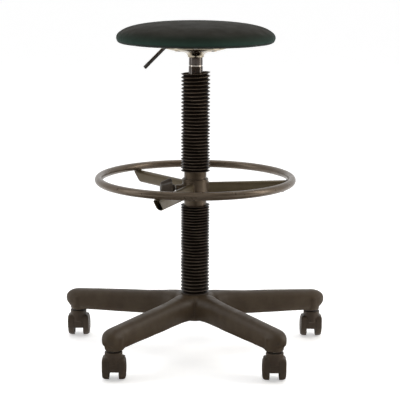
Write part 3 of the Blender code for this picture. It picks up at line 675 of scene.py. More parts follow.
def make_parting_lines(skin):
    """Fine moulding lines down the valleys of the hub, laid on its skin."""
    for i in range(len(STEMS)):
        turn = azimuth(STEMS[i]) + TAU / 10
        outward = Vector((math.cos(turn), math.sin(turn), 0))
        path = []
        for k in range(26):
            z = BASE_TOP - 0.003 - (BASE_TOP - HUB_LOW - 0.006) * k / 25
            hit = skin.ray_cast(outward * 0.3 + Vector((0, 0, z)), -outward)[0]
            if hit:
                path.append(hit - outward * 0.00015)
        line = tube(f"hub_parting_line_{i + 1}", path, [0.00045] * len(path), NYLON, 8)
        place(line, "base")


# ---------------------------------------------------------------- column and lift
def make_column():
    """Column, the bush in its mouth and the plate in its foot."""
    bottom, top = span("column_tube")
    column = lathe("column_sleeve", rounded([
        (COLUMN_R, top, 0.0006), (COLUMN_R, bottom, 0.0003), (COLUMN_BORE_R, bottom, 0),
        (COLUMN_BORE_R, top, 0.0004),
    ]), COAT)
    place(column, "base", ["column_tube"])
    low_z, high_z = span("guide_bush")
    inside = COLUMN_BORE_R - 0.0004           # outer radius of what is pushed into the column
    bush = lathe("column_bush", rounded([
        (COLUMN_R, high_z, 0.0010), (COLUMN_R, top + GAP, 0.0002), (inside, top + GAP, 0),
        (inside, low_z, 0.0004), (TUBE_R + GAP, low_z, 0.0002), (TUBE_R + GAP, high_z, 0.0006),
    ]), BUSH)
    place(bush, "base", ["guide_bush"])
    low_z, high_z = span("column_end_plate")
    dish, rod_hole = low_z + 0.0010, 0.0058
    plate = lathe("column_foot_plate", rounded([
        (inside, high_z, 0.0006), (inside, low_z, 0.0008), (0.0140, low_z, 0.001), (0.0120, dish, 0.001),
        (rod_hole, dish, 0.0003), (rod_hole, high_z, 0.0003),
    ]), ZINC, steps=64)
    place(plate, "base", ["column_end_plate"])


def fold_outline(low_z, high_z, folds, pitch_change):
    """Outer and inner walls of a bellows with sharp folds, and a crest at each end."""
    wall = 0.0013
    outer, inner = [], []
    per_fold = 8
    last = folds * per_fold
    for i in range(last + 1):
        t = i / last
        z = low_z + (high_z - low_z) * (t * (1 + pitch_change) - pitch_change * t * t)
        from_crest = 1 - abs(2 * ((i / per_fold) % 1.0) - 1)
        crest = GAITER_ROOT + (GAITER_CREST - GAITER_ROOT) * (1 - from_crest ** 1.2)
        outer.append((crest, z))
        inner.append((max(crest - wall, GAITER_BORE), z))
    return outer[::-1] + inner


def make_gaiter(name, node, folds, pitch_change, tilt):
    """A ribbed bellows. Its free end sits a little askew, and its folds aren't all alike."""
    low_z, high_z = span(node)

    def askew(angle, r, z):
        up = (z - low_z) / (high_z - low_z)
        lean = tilt * up ** 4 * math.cos(angle - 0.15) * r / GAITER_CREST
        bend = 0.00045 * math.sin(31 * up * TAU / 7 + 2 * angle) * math.sin(up * TAU / 2)
        return r + 0.0002 * math.sin(3 * angle + 17 * up), z + lean + bend

    outline = fold_outline(low_z, high_z - 0.2 * abs(tilt), folds, pitch_change)
    gaiter = lathe(name, outline, RUBBER, steps=72, shape=askew)
    gaiter.data.transform(Matrix.Translation(AXIS))
    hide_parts(node)
    return gaiter


def make_gaiters():
    upper = make_gaiter("gaiter_upper", "upper_gaiter", 29, -0.12, 0.0022)
    lower = make_gaiter("gaiter_lower", "lower_gaiter", 29, 0.15, 0.0006)
    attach(upper, "base")
    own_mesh(upper)
    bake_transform(lower)


def make_lift():
    """Gas lift's tube, with a bright groove between the taper and the painted length."""
    bottom, top = span("pressure_tube")
    taper_r, groove_r = 0.0154, 0.0140
    groove_top = low("seat_plate").z - 0.0172
    groove_foot = groove_top - 0.0026
    cap, pin_hole = top - 0.0040, 0.0044
    body = lathe("lift_tube", rounded([
        (taper_r - 0.0004, top, 0.0004), (taper_r, groove_top, 0.0004), (groove_r, groove_top, 0.0),
        (groove_r, groove_foot, 0.0), (TUBE_R, groove_foot, 0.0006), (TUBE_R, bottom, 0.0008),
        (TUBE_BORE_R, bottom, 0.0004), (TUBE_BORE_R, cap, 0.0), (pin_hole, cap, 0.0), (pin_hole, top, 0.0003),
    ]), TUBE_PAINT)
    place(body, "seat_unit", ["pressure_tube"])
    band = lathe("lift_groove_ring", rounded([
        (groove_r + 0.0004, groove_top - 0.0001, 0.0), (groove_r + 0.0004, groove_foot + 0.0001, 0.0),
        (groove_r - 0.0004, groove_foot + 0.0001, 0.0), (groove_r - 0.0004, groove_top - 0.0001, 0.0),
    ]), BAND)
    place(band, "seat_unit")


# ---------------------------------------------------------------- seat plate, board and lever
def make_seat_plate():
    """Pressed trumpet plate with its taper socket, screw pads and the lever's slot."""
    lip, rim = span("seat_plate")
    plate_r = reach("seat_plate")
    bore = 0.0153
    outline = rounded([
        (plate_r, rim, 0.0006), (plate_r, lip + 0.0192, 0.0030), (0.0560, lip + 0.0152, 0.012),
        (0.0290, lip + 0.0113, 0.012), (0.0212, lip + 0.0080, 0.006), (0.0180, lip + 0.0042, 0.0025),
        (0.0178, lip, 0.0014), (bore, lip, 0.0005), (bore, lip + 0.0088, 0.002),
        (0.0190, lip + 0.0114, 0.004), (0.0290, lip + 0.0132, 0.010), (0.0560, lip + 0.0170, 0.010),
        (plate_r - 0.0020, lip + 0.0207, 0.002), (plate_r - 0.0020, rim, 0.0004),
    ], steps=6)
    plate = lathe("seat_plate_pressing", outline)
    turn = about_z(LEVER_TURN)
    slot_height = rim - lip
    cut = [block("notch", (0.0220, 0.0104, slot_height), (0.0660, 0, lip + 0.0120 + slot_height / 2), turn)]
    for n in range(1, 5):
        middle = centre(f"seat_screw_{n}") - AXIS
        cut.append(rod("recess", 0.0070, (middle.x, middle.y, lip), (middle.x, middle.y, PIVOT.z)))
    carve(plate, cut)
    dress(plate, PLATE)
    place(plate, "seat_unit", ["seat_plate"])
    for n in range(1, 5):
        make_seat_screw(n)


def make_seat_screw(n):
    """Pan-head screw with a cross recess, on a plain washer."""
    bottom, top = span(f"seat_screw_{n}")
    where = centre(f"seat_screw_{n}")
    head = bottom + 0.0042
    shank_r, head_r = 0.0029, 0.0055
    screw = turned(f"seat_screw_head_{n}", [
        (0, top, 0), (shank_r, top, 0.0005), (shank_r, head, 0.0003), (head_r, head, 0.0004),
        (0.0052, bottom + 0.0012, 0.0016), (0, bottom, 0),
    ], steps=40)
    long, wide, deep = 0.0052, 0.0012, 0.0040
    for size in ((long, wide, deep), (wide, long, deep)):
        carve(screw, [block("cross", size, (0, 0, bottom), about_z(0.5 * n))])
    dress(screw, ZINC)
    place(screw, "seat_unit", [f"seat_screw_{n}"], (where.x, where.y, 0))
    washer = lathe(f"seat_washer_{n}", rounded([
        (0.0062, head + 0.0012, 0.0003), (0.0062, head + 0.0002, 0.0003), (0.0032, head + 0.0002, 0),
        (0.0032, head + 0.0012, 0),
    ]), ZINC, steps=40)
    place(washer, "seat_unit", location=(where.x, where.y, 0))
    pad = lathe(f"seat_plate_pad_{n}", rounded([
        (0.0088, BOARD_LOW - 0.0004, 0.0), (0.0092, bottom, 0.0010), (0.0068, bottom, 0.0004),
        (0.0066, head + 0.0014, 0.0006), (0.0034, head + 0.0014, 0.0), (0.0034, BOARD_LOW - 0.0004, 0.0),
    ]), PLATE, steps=48)
    place(pad, "seat_unit", location=(where.x, where.y, 0))


def make_board():
    """Plywood disc drilled for the screws and recessed for the valve, with the foam on it."""
    board = turned("seat_board_ply", [
        (0, BOARD_HIGH, 0), (BOARD_R, BOARD_HIGH, 0.0015), (BOARD_R, BOARD_LOW, 0.0008), (0, BOARD_LOW, 0),
    ])
    holes = []
    for n in range(1, 5):
        x, y = (centre(f"seat_screw_{n}") - AXIS).xy
        holes.append(rod("hole", 0.0033, (x, y, BOARD_LOW - 0.01), (x, y, BOARD_HIGH + 0.01)))
    holes.append(rod("valve_hole", 0.0110, (0, 0, BOARD_LOW - 0.01), (0, 0, BOARD_LOW + 0.006), 40))
    carve(board, holes)
    dress(board, PLY)
    place(board, "seat_unit", ["seat_board"])
    pad = turned("seat_foam", foam_corners(), FOAM, 64)
    place(pad, "seat_unit", ["foam_pad"])


def foam_corners():
    """Half section of the foam, which sits on the board and wraps its edge."""
    skin = 0.0022
    top = SEAT_TOP - skin - 0.004
    foot, lap = SEAT_LOW + 0.005, BOARD_R + 0.0012
    return [
        (0, top, 0), (0.09, top - 0.004, 0.06), (SEAT_R - 0.010, 0.715, 0.02), (SEAT_R - 0.006, 0.706, 0.006),
        (SEAT_R - 0.022, foot, 0.004), (lap, foot, 0.001), (lap, BOARD_HIGH + 0.001, 0.001),
        (0, BOARD_HIGH + 0.001, 0),
    ]


def make_lever():
    """Bent steel rod in a black plastic sleeve, with a rounded end cap."""
    radius, bend, length = 0.012, math.radians(45), 0.0605
    straight = 0.0618 - (PIVOT - AXIS).xy.length      # from the pivot to where the bend starts
    path = [Vector((-0.0340, 0, 0)), Vector((-0.0335, 0, 0)), Vector((straight, 0, 0))]
    for i in range(1, 9):
        angle = bend * i / 8
        path.append(Vector((straight + radius * math.sin(angle), 0, radius * math.cos(angle) - radius)))
    last = path[-1]
    away = Vector((math.cos(bend), 0, -math.sin(bend)))
    radii = [LEVER_R - 0.0005] + [LEVER_R] * (len(path) - 1)
    # (distance after the bend, share of the radius): a groove in the sleeve, then the end cap
    for along, scale in ((0.0060, 1.0), (0.0062, 0.93), (0.0068, 0.93), (0.0070, 1.0),
                         (length - 0.0145, 1.0), (length - 0.0143, 1.05), (length - 0.0012, 1.05),
                         (length - 0.0004, 0.92), (length, 0.70)):
        path.append(last + away * along)
        radii.append(LEVER_R * scale)
    lever = tube("lever_rod", path, radii, count=28)
    carve(lever, [rod("pin_hole", 0.0023, (0, -0.02, 0), (0, 0.02, 0))])
    dress(lever, BLACK)
    place(lever, "lever", ["height_lever"], PIVOT, LEVER_TURN)


# ---------------------------------------------------------------- foot ring
SPOKE_HALF_WIDTH, SPOKE_HEIGHT, SPOKE_WALL = 0.0075, 0.0280, 0.0015
SPOKE_TIP, SPOKE_SLANT = 0.2268, math.radians(44)   # top corner of the open end, and its angle from upright
SPOKE_TURNS = [math.radians(9 + 120 * n) for n in range(3)]
SPOKE_TOP = low("foot_ring").z + 0.0010       # welded a little way into the ring


def stadium(shrink, count=40):
    """Section of a flattened tube, upright, all of it shrunk inwards by shrink."""
    half, tall = SPOKE_HALF_WIDTH - shrink, SPOKE_HEIGHT - 2 * shrink
    points = []
    for i in range(count):
        angle = TAU * i / count
        shift = (tall / 2 - half) * (1 if math.sin(angle) >= 0 else -1)
        points.append((half * math.cos(angle), shift + half * math.sin(angle)))
    return points


def make_spokes():
    """Flattened steel tubes, open and cut aslant at their outer ends, welded under the ring."""
    middle = SPOKE_TOP - SPOKE_HEIGHT / 2
    slant = math.tan(SPOKE_SLANT)
    for n, turn in enumerate(SPOKE_TURNS, 1):
        walls = []
        for shrink in (0.0, SPOKE_WALL):
            outline = stadium(shrink)
            near = [Vector((math.sqrt((HUB_R + GAP) ** 2 - y * y), y, middle + z)) for y, z in outline]
            far = [Vector((SPOKE_TIP + (z - SPOKE_HEIGHT / 2) * slant, y, middle + z)) for y, z in outline]
            walls.append((near, far))
        (near_out, far_out), (near_in, far_in) = walls
        vertices = near_out + far_out + far_in + near_in
        spoke = make(f"ring_arm_{n}", vertices, grid_faces(4, len(near_out), wrapped=True), SPOKE_COAT)
        bevel = spoke.modifiers.new("edges", "BEVEL")
        bevel.width = 0.0003
        bevel.segments = 2
        bevel.limit_method = "ANGLE"
        settle(spoke)
        place(spoke, "foot_ring_unit", [f"ring_spoke_{n}"], turn=turn)
        make_welds(n, turn, middle)


def bead(name, path, radius, turn, seed):
    """A weld bead: a rippled tube laid along a closed or open path."""
    radii = [radius * (1 + 0.16 * math.sin(i * 1.9 + seed) + 0.08 * math.sin(i * 0.7))
             for i in range(len(path))]
    radii[0] = radii[-1] = radius * 0.3
    piece = tube(name, path, radii, COAT, 10)
    place(piece, "foot_ring_unit", turn=turn)


def make_welds(n, turn, middle):
    """Beads round a spoke's foot on the hub, and on both sides of the ring above its tip."""
    hub_path = []
    for i in range(57):
        angle = TAU * i / 56 + TAU / 4
        y = (SPOKE_HALF_WIDTH + 0.0004) * math.cos(angle)
        z = (SPOKE_HEIGHT / 2 - SPOKE_HALF_WIDTH) * (1 if math.sin(angle) >= 0 else -1)
        z += (SPOKE_HALF_WIDTH + 0.0004) * math.sin(angle)
        hub_path.append(Vector((math.sqrt(HUB_R ** 2 - y * y) + 0.0004, y, middle + z)))
    bead(f"hub_weld_{n}", hub_path, 0.0013, turn, n)
    for side in (-1, 1):
        path = []
        for i in range(15):
            y = -0.0052 + 0.0104 * i / 14
            x = RING_R + side * 0.0052 - 0.5 * y * y / RING_R
            z = SPOKE_TOP - (SPOKE_HALF_WIDTH - math.sqrt(SPOKE_HALF_WIDTH ** 2 - y * y)) * 0.75 + 0.0010
            path.append(Vector((x, y, z)))
        bead(f"ring_weld_{n}_{'in' if side < 0 else 'out'}", path, 0.0012, turn, n + side)


def make_foot_ring():
    """Bent round tube, with the weld bead that closes it."""
    count, around = 28, 192
    vertices = []
    for k in range(around):
        for i in range(count):
            across, up = spin(RING_TUBE_R, TAU * i / count)
            vertices.append((*spin(RING_R + across, TAU * k / around), RING_Z + up))
    ring = make("foot_ring_tube", vertices, grid_faces(around, count, wrapped=True), RING_COAT)
    place(ring, "foot_ring_unit", ["foot_ring"])
    seam = []
    joint, sunk = math.radians(80), 0.0002
    for i in range(29):
        across, up = spin(RING_TUBE_R - sunk, TAU * i / 28)
        seam.append(Vector((*spin(RING_R + across, joint), RING_Z + up)))
    bead("foot_ring_seam", seam, 0.0006, 0.0, 2)


def make_ring_hub():
    """Hub bored for the clamp, and the bush that it turns on."""
    bottom, top = span("ring_hub")
    hub = lathe("ring_hub_sleeve", rounded([
        (HUB_R, top, 0.0009), (HUB_R, bottom, 0.0009), (HUB_BORE_R, bottom, 0.0006),
        (HUB_BORE_R, top, 0.0006),
    ]))
    hole = rod("hole", 0.0043, (0.010, 0, CLAMP_Z), (0.06, 0, CLAMP_Z))
    hole.data.transform(about_z(CLAMP_TURN))
    carve(hub, [hole])
    dress(hub, COAT)
    place(hub, "foot_ring_unit", ["ring_hub"])
    low_z, high_z = span("ring_bush")
    outer, inner = HUB_BORE_R - GAP, COLUMN_R + GAP
    bush = lathe("ring_slide_bush", rounded([
        (outer, high_z, 0.0003), (outer, low_z, 0.0003), (inner, low_z, 0.0004), (inner, high_z, 0.0004),
    ]), BLACK)
    place(bush, "ring_slider", ["ring_bush"])


KNOB_START, SCREW_END = 0.0470, 0.0630        # distances out from the column's axis


def outwards(thing):
    """Lays a piece made about +Z along the clamp's axis."""
    thing.data.transform(Matrix.Translation((0, 0, CLAMP_Z)) @ Matrix.Rotation(TAU / 4, 4, "Y"))
    return thing


def make_clamp():
    """Threaded boss with its weld, the screw and the knob."""
    outer, inner, foot, face = 0.0086, 0.0044, HUB_R + GAP, 0.0440
    nut = outwards(lathe("clamp_boss", rounded([
        (outer, face, 0.0008), (outer, foot, 0.0004), (inner, foot, 0.0), (inner, face, 0.0006),
    ]), COAT, steps=48))
    place(nut, "foot_ring_unit", ["clamp_nut"], turn=CLAMP_TURN)
    path = []
    for i in range(41):
        y, up = spin(0.0092, TAU * i / 40)
        path.append(Vector((math.sqrt(HUB_R ** 2 - y * y) + 0.0003, y, CLAMP_Z + up)))
    bead("clamp_weld", path, 0.0011, CLAMP_TURN, 5)
    crest, root, pitch, turns, tip = 0.0038, 0.0032, 0.00125, 13, 0.0302
    outline = [(0, SCREW_END), (0.0037, SCREW_END)]
    for i in range(turns * 2):
        outline.append((root if i % 2 else crest, KNOB_START - pitch / 2 * i))
    outline += [(0.0034, tip), (0, tip)]
    screw = outwards(lathe("clamp_thread", outline, ZINC, closed=False, steps=40))
    place(screw, "clamp_knob", ["clamp_screw"], turn=CLAMP_TURN)
    knob = outwards(knob_piece())
    place(knob, "clamp_knob", ["clamp_knob"], turn=CLAMP_TURN)


def knob_piece():
    """Lobed grip, narrower towards its outer end, on a grooved round collar."""
    lobes = 6
    # distance out from the collar's face, radius and depth of the lobes
    shape = ((0.0, 0.0088, 0.0), (0.0005, 0.0095, 0.0), (0.0018, 0.0096, 0.0), (0.0022, 0.0088, 0.0),
             (0.0028, 0.0088, 0.0), (0.0032, 0.0096, 0.0), (0.0050, 0.0100, 0.0), (0.0056, 0.0150, 0.02),
             (0.0064, 0.0202, 0.05), (0.0078, 0.0218, 0.07), (0.0100, 0.0222, 0.09), (0.0150, 0.0206, 0.10),
             (0.0220, 0.0174, 0.10), (0.0280, 0.0154, 0.09), (0.0302, 0.0144, 0.08), (0.0315, 0.0128, 0.06),
             (0.0320, 0.0108, 0.03), (0.0320, 0.0070, 0.0), (0.0312, 0.0062, 0.0), (0.0312, 0.0008, 0.0))
    rings = []
    count = 96
    for along, radius, depth in shape:
        ring = []
        for i in range(count):
            angle = TAU * i / count
            wave = math.cos(lobes * angle)
            reach_r = radius * (1 + depth * (wave if wave > 0 else wave * 1.1))
            ring.append(Vector((*spin(reach_r, angle), KNOB_START + along)))
        rings.append(ring)
    knob = loft("clamp_grip", rings)
    bore = rod("bore", 0.0041, (0, 0, KNOB_START - 0.01), (0, 0, SCREW_END + GAP))
    carve(knob, [bore])
    return dress(knob, KNOB)


# ---------------------------------------------------------------- castors
HOOD_HALF = 0.0245
HOOD_R = 0.0280
WHEEL_INNER = 0.0105
WEB_FOOT = 0.0238             # height of the web's lower edge


def barrel(half, radius, power, count=14):
    """Outline of a barrel on its side, from one end's middle to the other's, as (radius, along)."""
    points = [(0, half)]
    for i in range(count + 1):
        angle = TAU / 4 - TAU / 2 * i / count
        along = half * math.copysign(abs(math.sin(angle)) ** (2 / power), math.sin(angle))
        points.append((0.0150 + (radius - 0.0150) * abs(math.cos(angle)) ** (2 / power), along))
    points.append((0, -half))
    return points


def brow():
    """The housing's upright front: a rounded box as wide as the wheels."""
    front, rear, foot, top = -0.0170, 0.0150, 0.0120, 0.0540
    rings = []
    for i in range(25):
        side = math.sin(TAU / 4 * (2 * i / 24 - 1))
        inset = 0.0058 * (1 - math.sqrt(max(0.0, 1 - max(0.0, (abs(side) - 0.76) / 0.24) ** 2)))
        face = front + 0.5 * inset
        outline = rounded([
            (face, top - inset, 0.0080), (face, foot, 0.004), (rear, foot, 0.002), (rear, top - inset, 0.004),
        ], steps=6)
        rings.append([Vector((side * HOOD_HALF, y, z)) for y, z in outline])
    return loft("brow", rings)


def castor_housing():
    """Hood, web and neck in one moulding, with a well on each side for the wheels."""
    hub = Matrix.Translation((0, TRAIL, WHEEL_R))
    hood = lathe("hood", barrel(HOOD_HALF, HOOD_R, 6.5), closed=False, steps=64)
    hood.data.transform(hub @ Matrix.Rotation(TAU / 4, 4, "Y"))
    neck_r, neck_top, neck_foot = 0.0188, 0.0652, 0.0400
    neck = turned("neck", [
        (0, neck_top, 0), (neck_r, neck_top, 0.0008), (neck_r, neck_foot, 0), (0, neck_foot, 0),
    ], steps=48)
    body = fused("castor_hood", [hood, neck, brow()], 0.0008, 6)
    web, well_r = WHEEL_INNER - 0.0006, 0.0262
    for side in (-1, 1):
        well = turned("well", [
            (0, 0.0400, 0), (well_r, 0.0400, 0), (well_r, 0.0175, 0.003), (well_r, web, 0.001), (0, web, 0),
        ], steps=64)
        well.data.transform(hub @ Matrix.Rotation(side * TAU / 4, 4, "Y"))
        carve(body, [well])
    slack = 0.06
    for side in (-1, 1):
        middle = (side * (web + slack / 2), TRAIL, WEB_FOOT - slack / 2)
        carve(body, [block("skirt", (slack, 0.08, slack), middle)])
    carve(body, [block("rear", (0.08, 0.05, slack), (0, TRAIL + 0.025, WHEEL_R + 0.003 - slack / 2))])
    carve(body, [block("below", (0.08, 0.12, slack), (0, 0, WEB_FOOT - slack / 2))])
    for side in (-1, 1):
        carve(body, [block("groove", (0.0009, 0.0060, 0.0320), (side * WHEEL_INNER, -0.0185, 0.0310))])
    carve(body, [rod("axle_hole", 0.0033, (-0.03, TRAIL, WHEEL_R), (0.03, TRAIL, WHEEL_R)),
                 rod("stem_hole", 0.0058, (0, 0, 0.046), (0, 0, 0.09))])
    return body.data


def wheel_mesh():
    """Barrel wheel about Z, outer face up: dished hub cap and a side groove on the inner side."""
    return turned("wheel", [
        (0, 0.0246, 0), (0.0105, 0.0246, 0.0004), (0.0112, 0.0253, 0.0005), (0.0135, 0.0255, 0.001),
        (0.0185, 0.0251, 0.004), (0.0222, 0.0240, 0.003), (0.0243, 0.0210, 0.004), (0.0250, 0.0165, 0.004),
        (0.0250, WHEEL_INNER + 0.0008, 0.0006), (0.0244, WHEEL_INNER, 0.0004), (0.0215, WHEEL_INNER, 0.0003),
        (0.0210, 0.0130, 0.001), (0.0075, 0.0130, 0.001), (0.0070, WHEEL_INNER, 0.0003),
        (0.0033, WHEEL_INNER, 0), (0.0033, 0.0215, 0), (0, 0.0215, 0),
    ]).data


def make_castors():
    """Five housings and ten wheels, each kind from one mesh."""
    housing, wheel = castor_housing(), wheel_mesh()
    for mesh, name in ((housing, "castor_housing"), (wheel, "castor_wheel")):
        mesh.name = name
        mesh.materials.clear()
        mesh.materials.append(CASTOR)
    for leftover in ("castor_hood", "wheel"):
        bpy.data.objects.remove(bpy.data.objects[leftover])
    for n, stem in enumerate(STEMS, 1):
        hood = add(f"castor_{n}_hood", housing)
        place(hood, f"castor_{n}", [f"castor_{n}_housing"], (stem.x, stem.y, 0))
        for side, turn in (("left", -TAU / 4), ("right", TAU / 4)):
            piece = add(f"castor_{n}_tyre_{side}", wheel)
            piece.location = (stem.x, stem.y + TRAIL, WHEEL_R)
            piece.rotation_euler = (0, turn, 0)
            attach(piece, f"castor_{n}_{side}")
            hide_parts(f"castor_{n}_wheel_{side}")


# ---------------------------------------------------------------- cushion
HEM_R = 0.1340               # inner edge of the cover, folded under the board
SEAT_RIM = 0.7070            # height of the seat's widest point
SIM_SPREAD = 1.009           # gives back the width that remeshing and the cloth pass take off


def cushion_outline():
    """Half section of the seat cover's outside, from the crown down and under to the hem."""
    crown = SEAT_TOP - 0.0016 - SEAT_RIM
    upper_power, lower_power = 2 / 2.35, 2 / 2.6
    points = []
    for i in range(25):
        angle = TAU / 4 * i / 24
        r = SEAT_R * math.sin(angle) ** upper_power
        points.append((r, SEAT_RIM + crown * math.cos(angle) ** upper_power))
    edge = 0.0250
    for i in range(1, 12):
        angle = TAU / 4 * i / 11
        across, down = math.cos(angle) ** lower_power, math.sin(angle) ** lower_power
        points.append((SEAT_R - edge + edge * across, SEAT_RIM - (SEAT_RIM - SEAT_LOW) * down))
    return points


def inflate(source, pressure, cap):
    """Cloth pass: the pad swells a little under pressure, by no more than cap."""
    start = [vertex.co.copy() for vertex in source.data.vertices]
    pinned = source.vertex_groups.new(name="pinned")
    for vertex in source.data.vertices:
        if vertex.co.z < SEAT_LOW + 0.0040:
            pinned.add([vertex.index], 1.0, "REPLACE")
    cloth = source.modifiers.new("cloth", "CLOTH")
    settings = cloth.settings
    settings.quality = 5
    settings.mass = 0.3
    settings.tension_stiffness = 25
    settings.compression_stiffness = 25
    settings.shear_stiffness = 10
    settings.bending_stiffness = 1.5
    settings.use_pressure = True
    settings.uniform_pressure_force = pressure
    settings.vertex_group_mass = "pinned"
    settings.effector_weights.gravity = 0
    scene = bpy.context.scene
    scene.frame_start, scene.frame_end = 1, 20
    cloth.point_cache.frame_start, cloth.point_cache.frame_end = 1, 20
    for number in range(1, 21):
        scene.frame_set(number)
    settle(source)
    scene.frame_set(1)
    for vertex, before in zip(source.data.vertices, start):
        moved = vertex.co - before
        if moved.length > cap:
            vertex.co = before + moved * (cap / moved.length)
    source.vertex_groups.clear()


def make_cushion():
    """Padded seat: simulated cover, gathered under the board and stapled there."""
    outline = cushion_outline()
    solid = lathe("seat_cushion", outline + [(0, SEAT_LOW)], closed=False, steps=96)
    voxel_remesh(solid, 0.0050)
    settle(solid)
    shrink = 0.0004
    for vertex in solid.data.vertices:
        vertex.co -= vertex.normal * shrink
    inflate(solid, 4.0, 0.0012)
    solid.data.transform(Matrix.Diagonal((SIM_SPREAD, SIM_SPREAD, 1, 1)))
    grow = solid.modifiers.new("round", "SUBSURF")
    grow.levels = grow.render_levels = 1
    settle(solid)
    carve(solid, [turned("inside", inside_corners())], sharp=60)
    dress(solid, LEATHER)
    place(solid, "seat_unit", ["seat_cover"])


def inside_corners():
    """What the cover leaves for the foam and the board, open at the bottom inside the hem."""
    top, below = SEAT_TOP - 0.0045, SEAT_LOW - 0.01
    return [
        (0, top, 0), (0.100, top - 0.0055, 0.06), (SEAT_R - 0.0075, 0.7145, 0.02),
        (SEAT_R - 0.0040, 0.7060, 0.006), (SEAT_R - 0.0230, SEAT_LOW + 0.0018, 0.004),
        (HEM_R, SEAT_LOW + 0.0015, 0.0), (HEM_R, below, 0.0), (0, below, 0),
    ]


def make_hem():
    """Gathered edge of the cover under the board, with its staples."""
    outer, pleats = 0.1480, 46
    vertices = []
    count = pleats * 8
    rows = 6
    for row in range(rows + 1):
        t = row / rows
        r = outer - (outer - HEM_R) * t
        for k in range(count):
            angle = TAU * k / count
            swell = 0.6 + 0.4 * math.sin(5 * angle)
            depth = 0.0007 * t * swell * math.cos(pleats * angle + math.sin(3 * angle))
            edge = 0.0016 * t * math.sin(pleats * angle * 0.5 + 2 * math.sin(4 * angle))
            vertices.append((*spin(r - edge, angle), SEAT_LOW - 0.0004 - 0.0004 * t + depth))
    hem = make("seat_cover_hem", vertices, grid_faces(rows + 1, count), LEATHER)
    thick = hem.modifiers.new("thick", "SOLIDIFY")
    thick.thickness = 0.0009
    thick.offset = 0
    settle(hem)
    place(hem, "seat_unit")
    staples = []
    number, staple_circle_r = 36, 0.1385
    for k in range(number):
        angle = TAU * (k + 0.3 * math.sin(k * 2.1)) / number
        lean = 0.35 * math.sin(k * 1.7)
        staples.append(staple(angle, staple_circle_r, lean))
    row = merged("seat_staples", staples)
    dress(row, ZINC)
    place(row, "seat_unit")


def staple(angle, radius, lean):
    wire, half, leg = 0.00035, 0.0045, 0.0030
    path = [Vector((0, y, z)) for y, z in ((-half, leg), (-half, 0.0), (half, 0.0), (half, leg))]
    piece = tube("staple", path, [wire] * 4, count=6)
    piece.data.transform(about_z(angle) @ Matrix.Translation((radius, 0, SEAT_LOW - 0.0015))
                         @ about_z(lean))
    return piece


# ---------------------------------------------------------------- pieces that keep their CAD shape
def dress_frame_nodes():
    """Materials of the CAD nodes that show with their own shape."""
    bright = ["thrust_washer_lower", "thrust_ball_cage", "thrust_washer_upper", "piston_rod", "rod_clip",
              "valve_pin", "lever_pin", "lever_bracket"]
    for n in range(1, 6):
        bright += [f"castor_{n}_stem", f"castor_{n}_axle"]
    for node in bright:
        dress(frame["nodes"][node], ZINC)
    dress(frame["nodes"]["clamp_pad"], BUSH)
    dress(frame["nodes"]["rod_seal"], BLACK)


# ---------------------------------------------------------------- studio
CAMERA_DISTANCE, CAMERA_SIDE, CAMERA_HEIGHT = 2.7499, 0.0107, 0.8747
CAMERA_PITCH, CAMERA_ROLL = -0.1902, 0.0047
LENS = 112.23


def area_light(name, size, power, where, aim, colour=(1, 1, 1)):
    light = bpy.data.lights.new(name, "AREA")
    light.shape = "RECTANGLE"
    light.size, light.size_y = size
    light.energy = power
    light.color = colour
    thing = add(name, light)
    thing.location = where
    thing.rotation_euler = (Vector(aim) - Vector(where)).to_track_quat("-Z", "Y").to_euler()


def make_world():
    """White all round, and dimmer on the camera's side so that glossy fronts stay dark."""
    world = bpy.data.worlds.new("studio")
    bpy.context.scene.world = world
    world.use_nodes = True
    tree = world.node_tree
    background = tree.nodes["Background"]
    background.inputs["Color"].default_value = (1, 1, 1, 1)
    split = tree.nodes.new("ShaderNodeSeparateXYZ")
    tree.links.new(tree.nodes.new("ShaderNodeTexCoord").outputs["Generated"], split.inputs[0])
    fade = tree.nodes.new("ShaderNodeMapRange")
    dimmest, brightest = 0.15, 1.05
    for socket, number in (("From Min", -0.5), ("From Max", 0.5), ("To Min", dimmest), ("To Max", brightest)):
        fade.inputs[socket].default_value = number
    tree.links.new(split.outputs["Y"], fade.inputs["Value"])
    tree.links.new(fade.outputs["Result"], background.inputs["Strength"])


def glowing(name, rough, strength):
    """Matt near-white that gives off a little light, for the floor and the horizon."""
    s = Shader(name, Roughness=rough, Specular_IOR_Level=0.0, Emission_Strength=strength)
    s.body.inputs["Emission Color"].default_value = (1, 1, 1, 1)
    s.colour(s.ramp(s.noise(3.0), (0.3, (0.90, 0.90, 0.90)), (0.7, (0.92, 0.92, 0.92))))
    return s.material


def make_horizon():
    """A white wall round the floor, seen by the camera only, so that low views have no grey horizon."""
    mesh = bpy.data.meshes.new("studio_horizon")
    count, radius, height = 96, 29.0, 16.0
    points = [(*spin(radius, TAU * i / count), z) for z in (-0.01, height) for i in range(count)]
    mesh.from_pydata(points, [], grid_faces(2, count))
    wall = dress(add("studio_horizon", mesh), glowing("white_wall", 0.9, 1.0))
    wall.visible_diffuse = wall.visible_glossy = wall.visible_shadow = wall.visible_transmission = False


def make_flag():
    """A dark card on the floor before the stool, seen only in reflections, as a studio's black flag is."""
    flag = block("studio_flag", (1.5, 4.0, 0.004), (0, -2.05, 0.001))
    s = Shader("flag_cloth", Roughness=0.9, Specular_IOR_Level=0.0)
    s.colour(s.ramp(s.noise(4.0), (0.3, (0.03, 0.025, 0.02)), (0.7, (0.04, 0.034, 0.028))))
    dress(flag, s.material)
    flag.visible_camera = flag.visible_diffuse = flag.visible_shadow = flag.visible_transmission = False


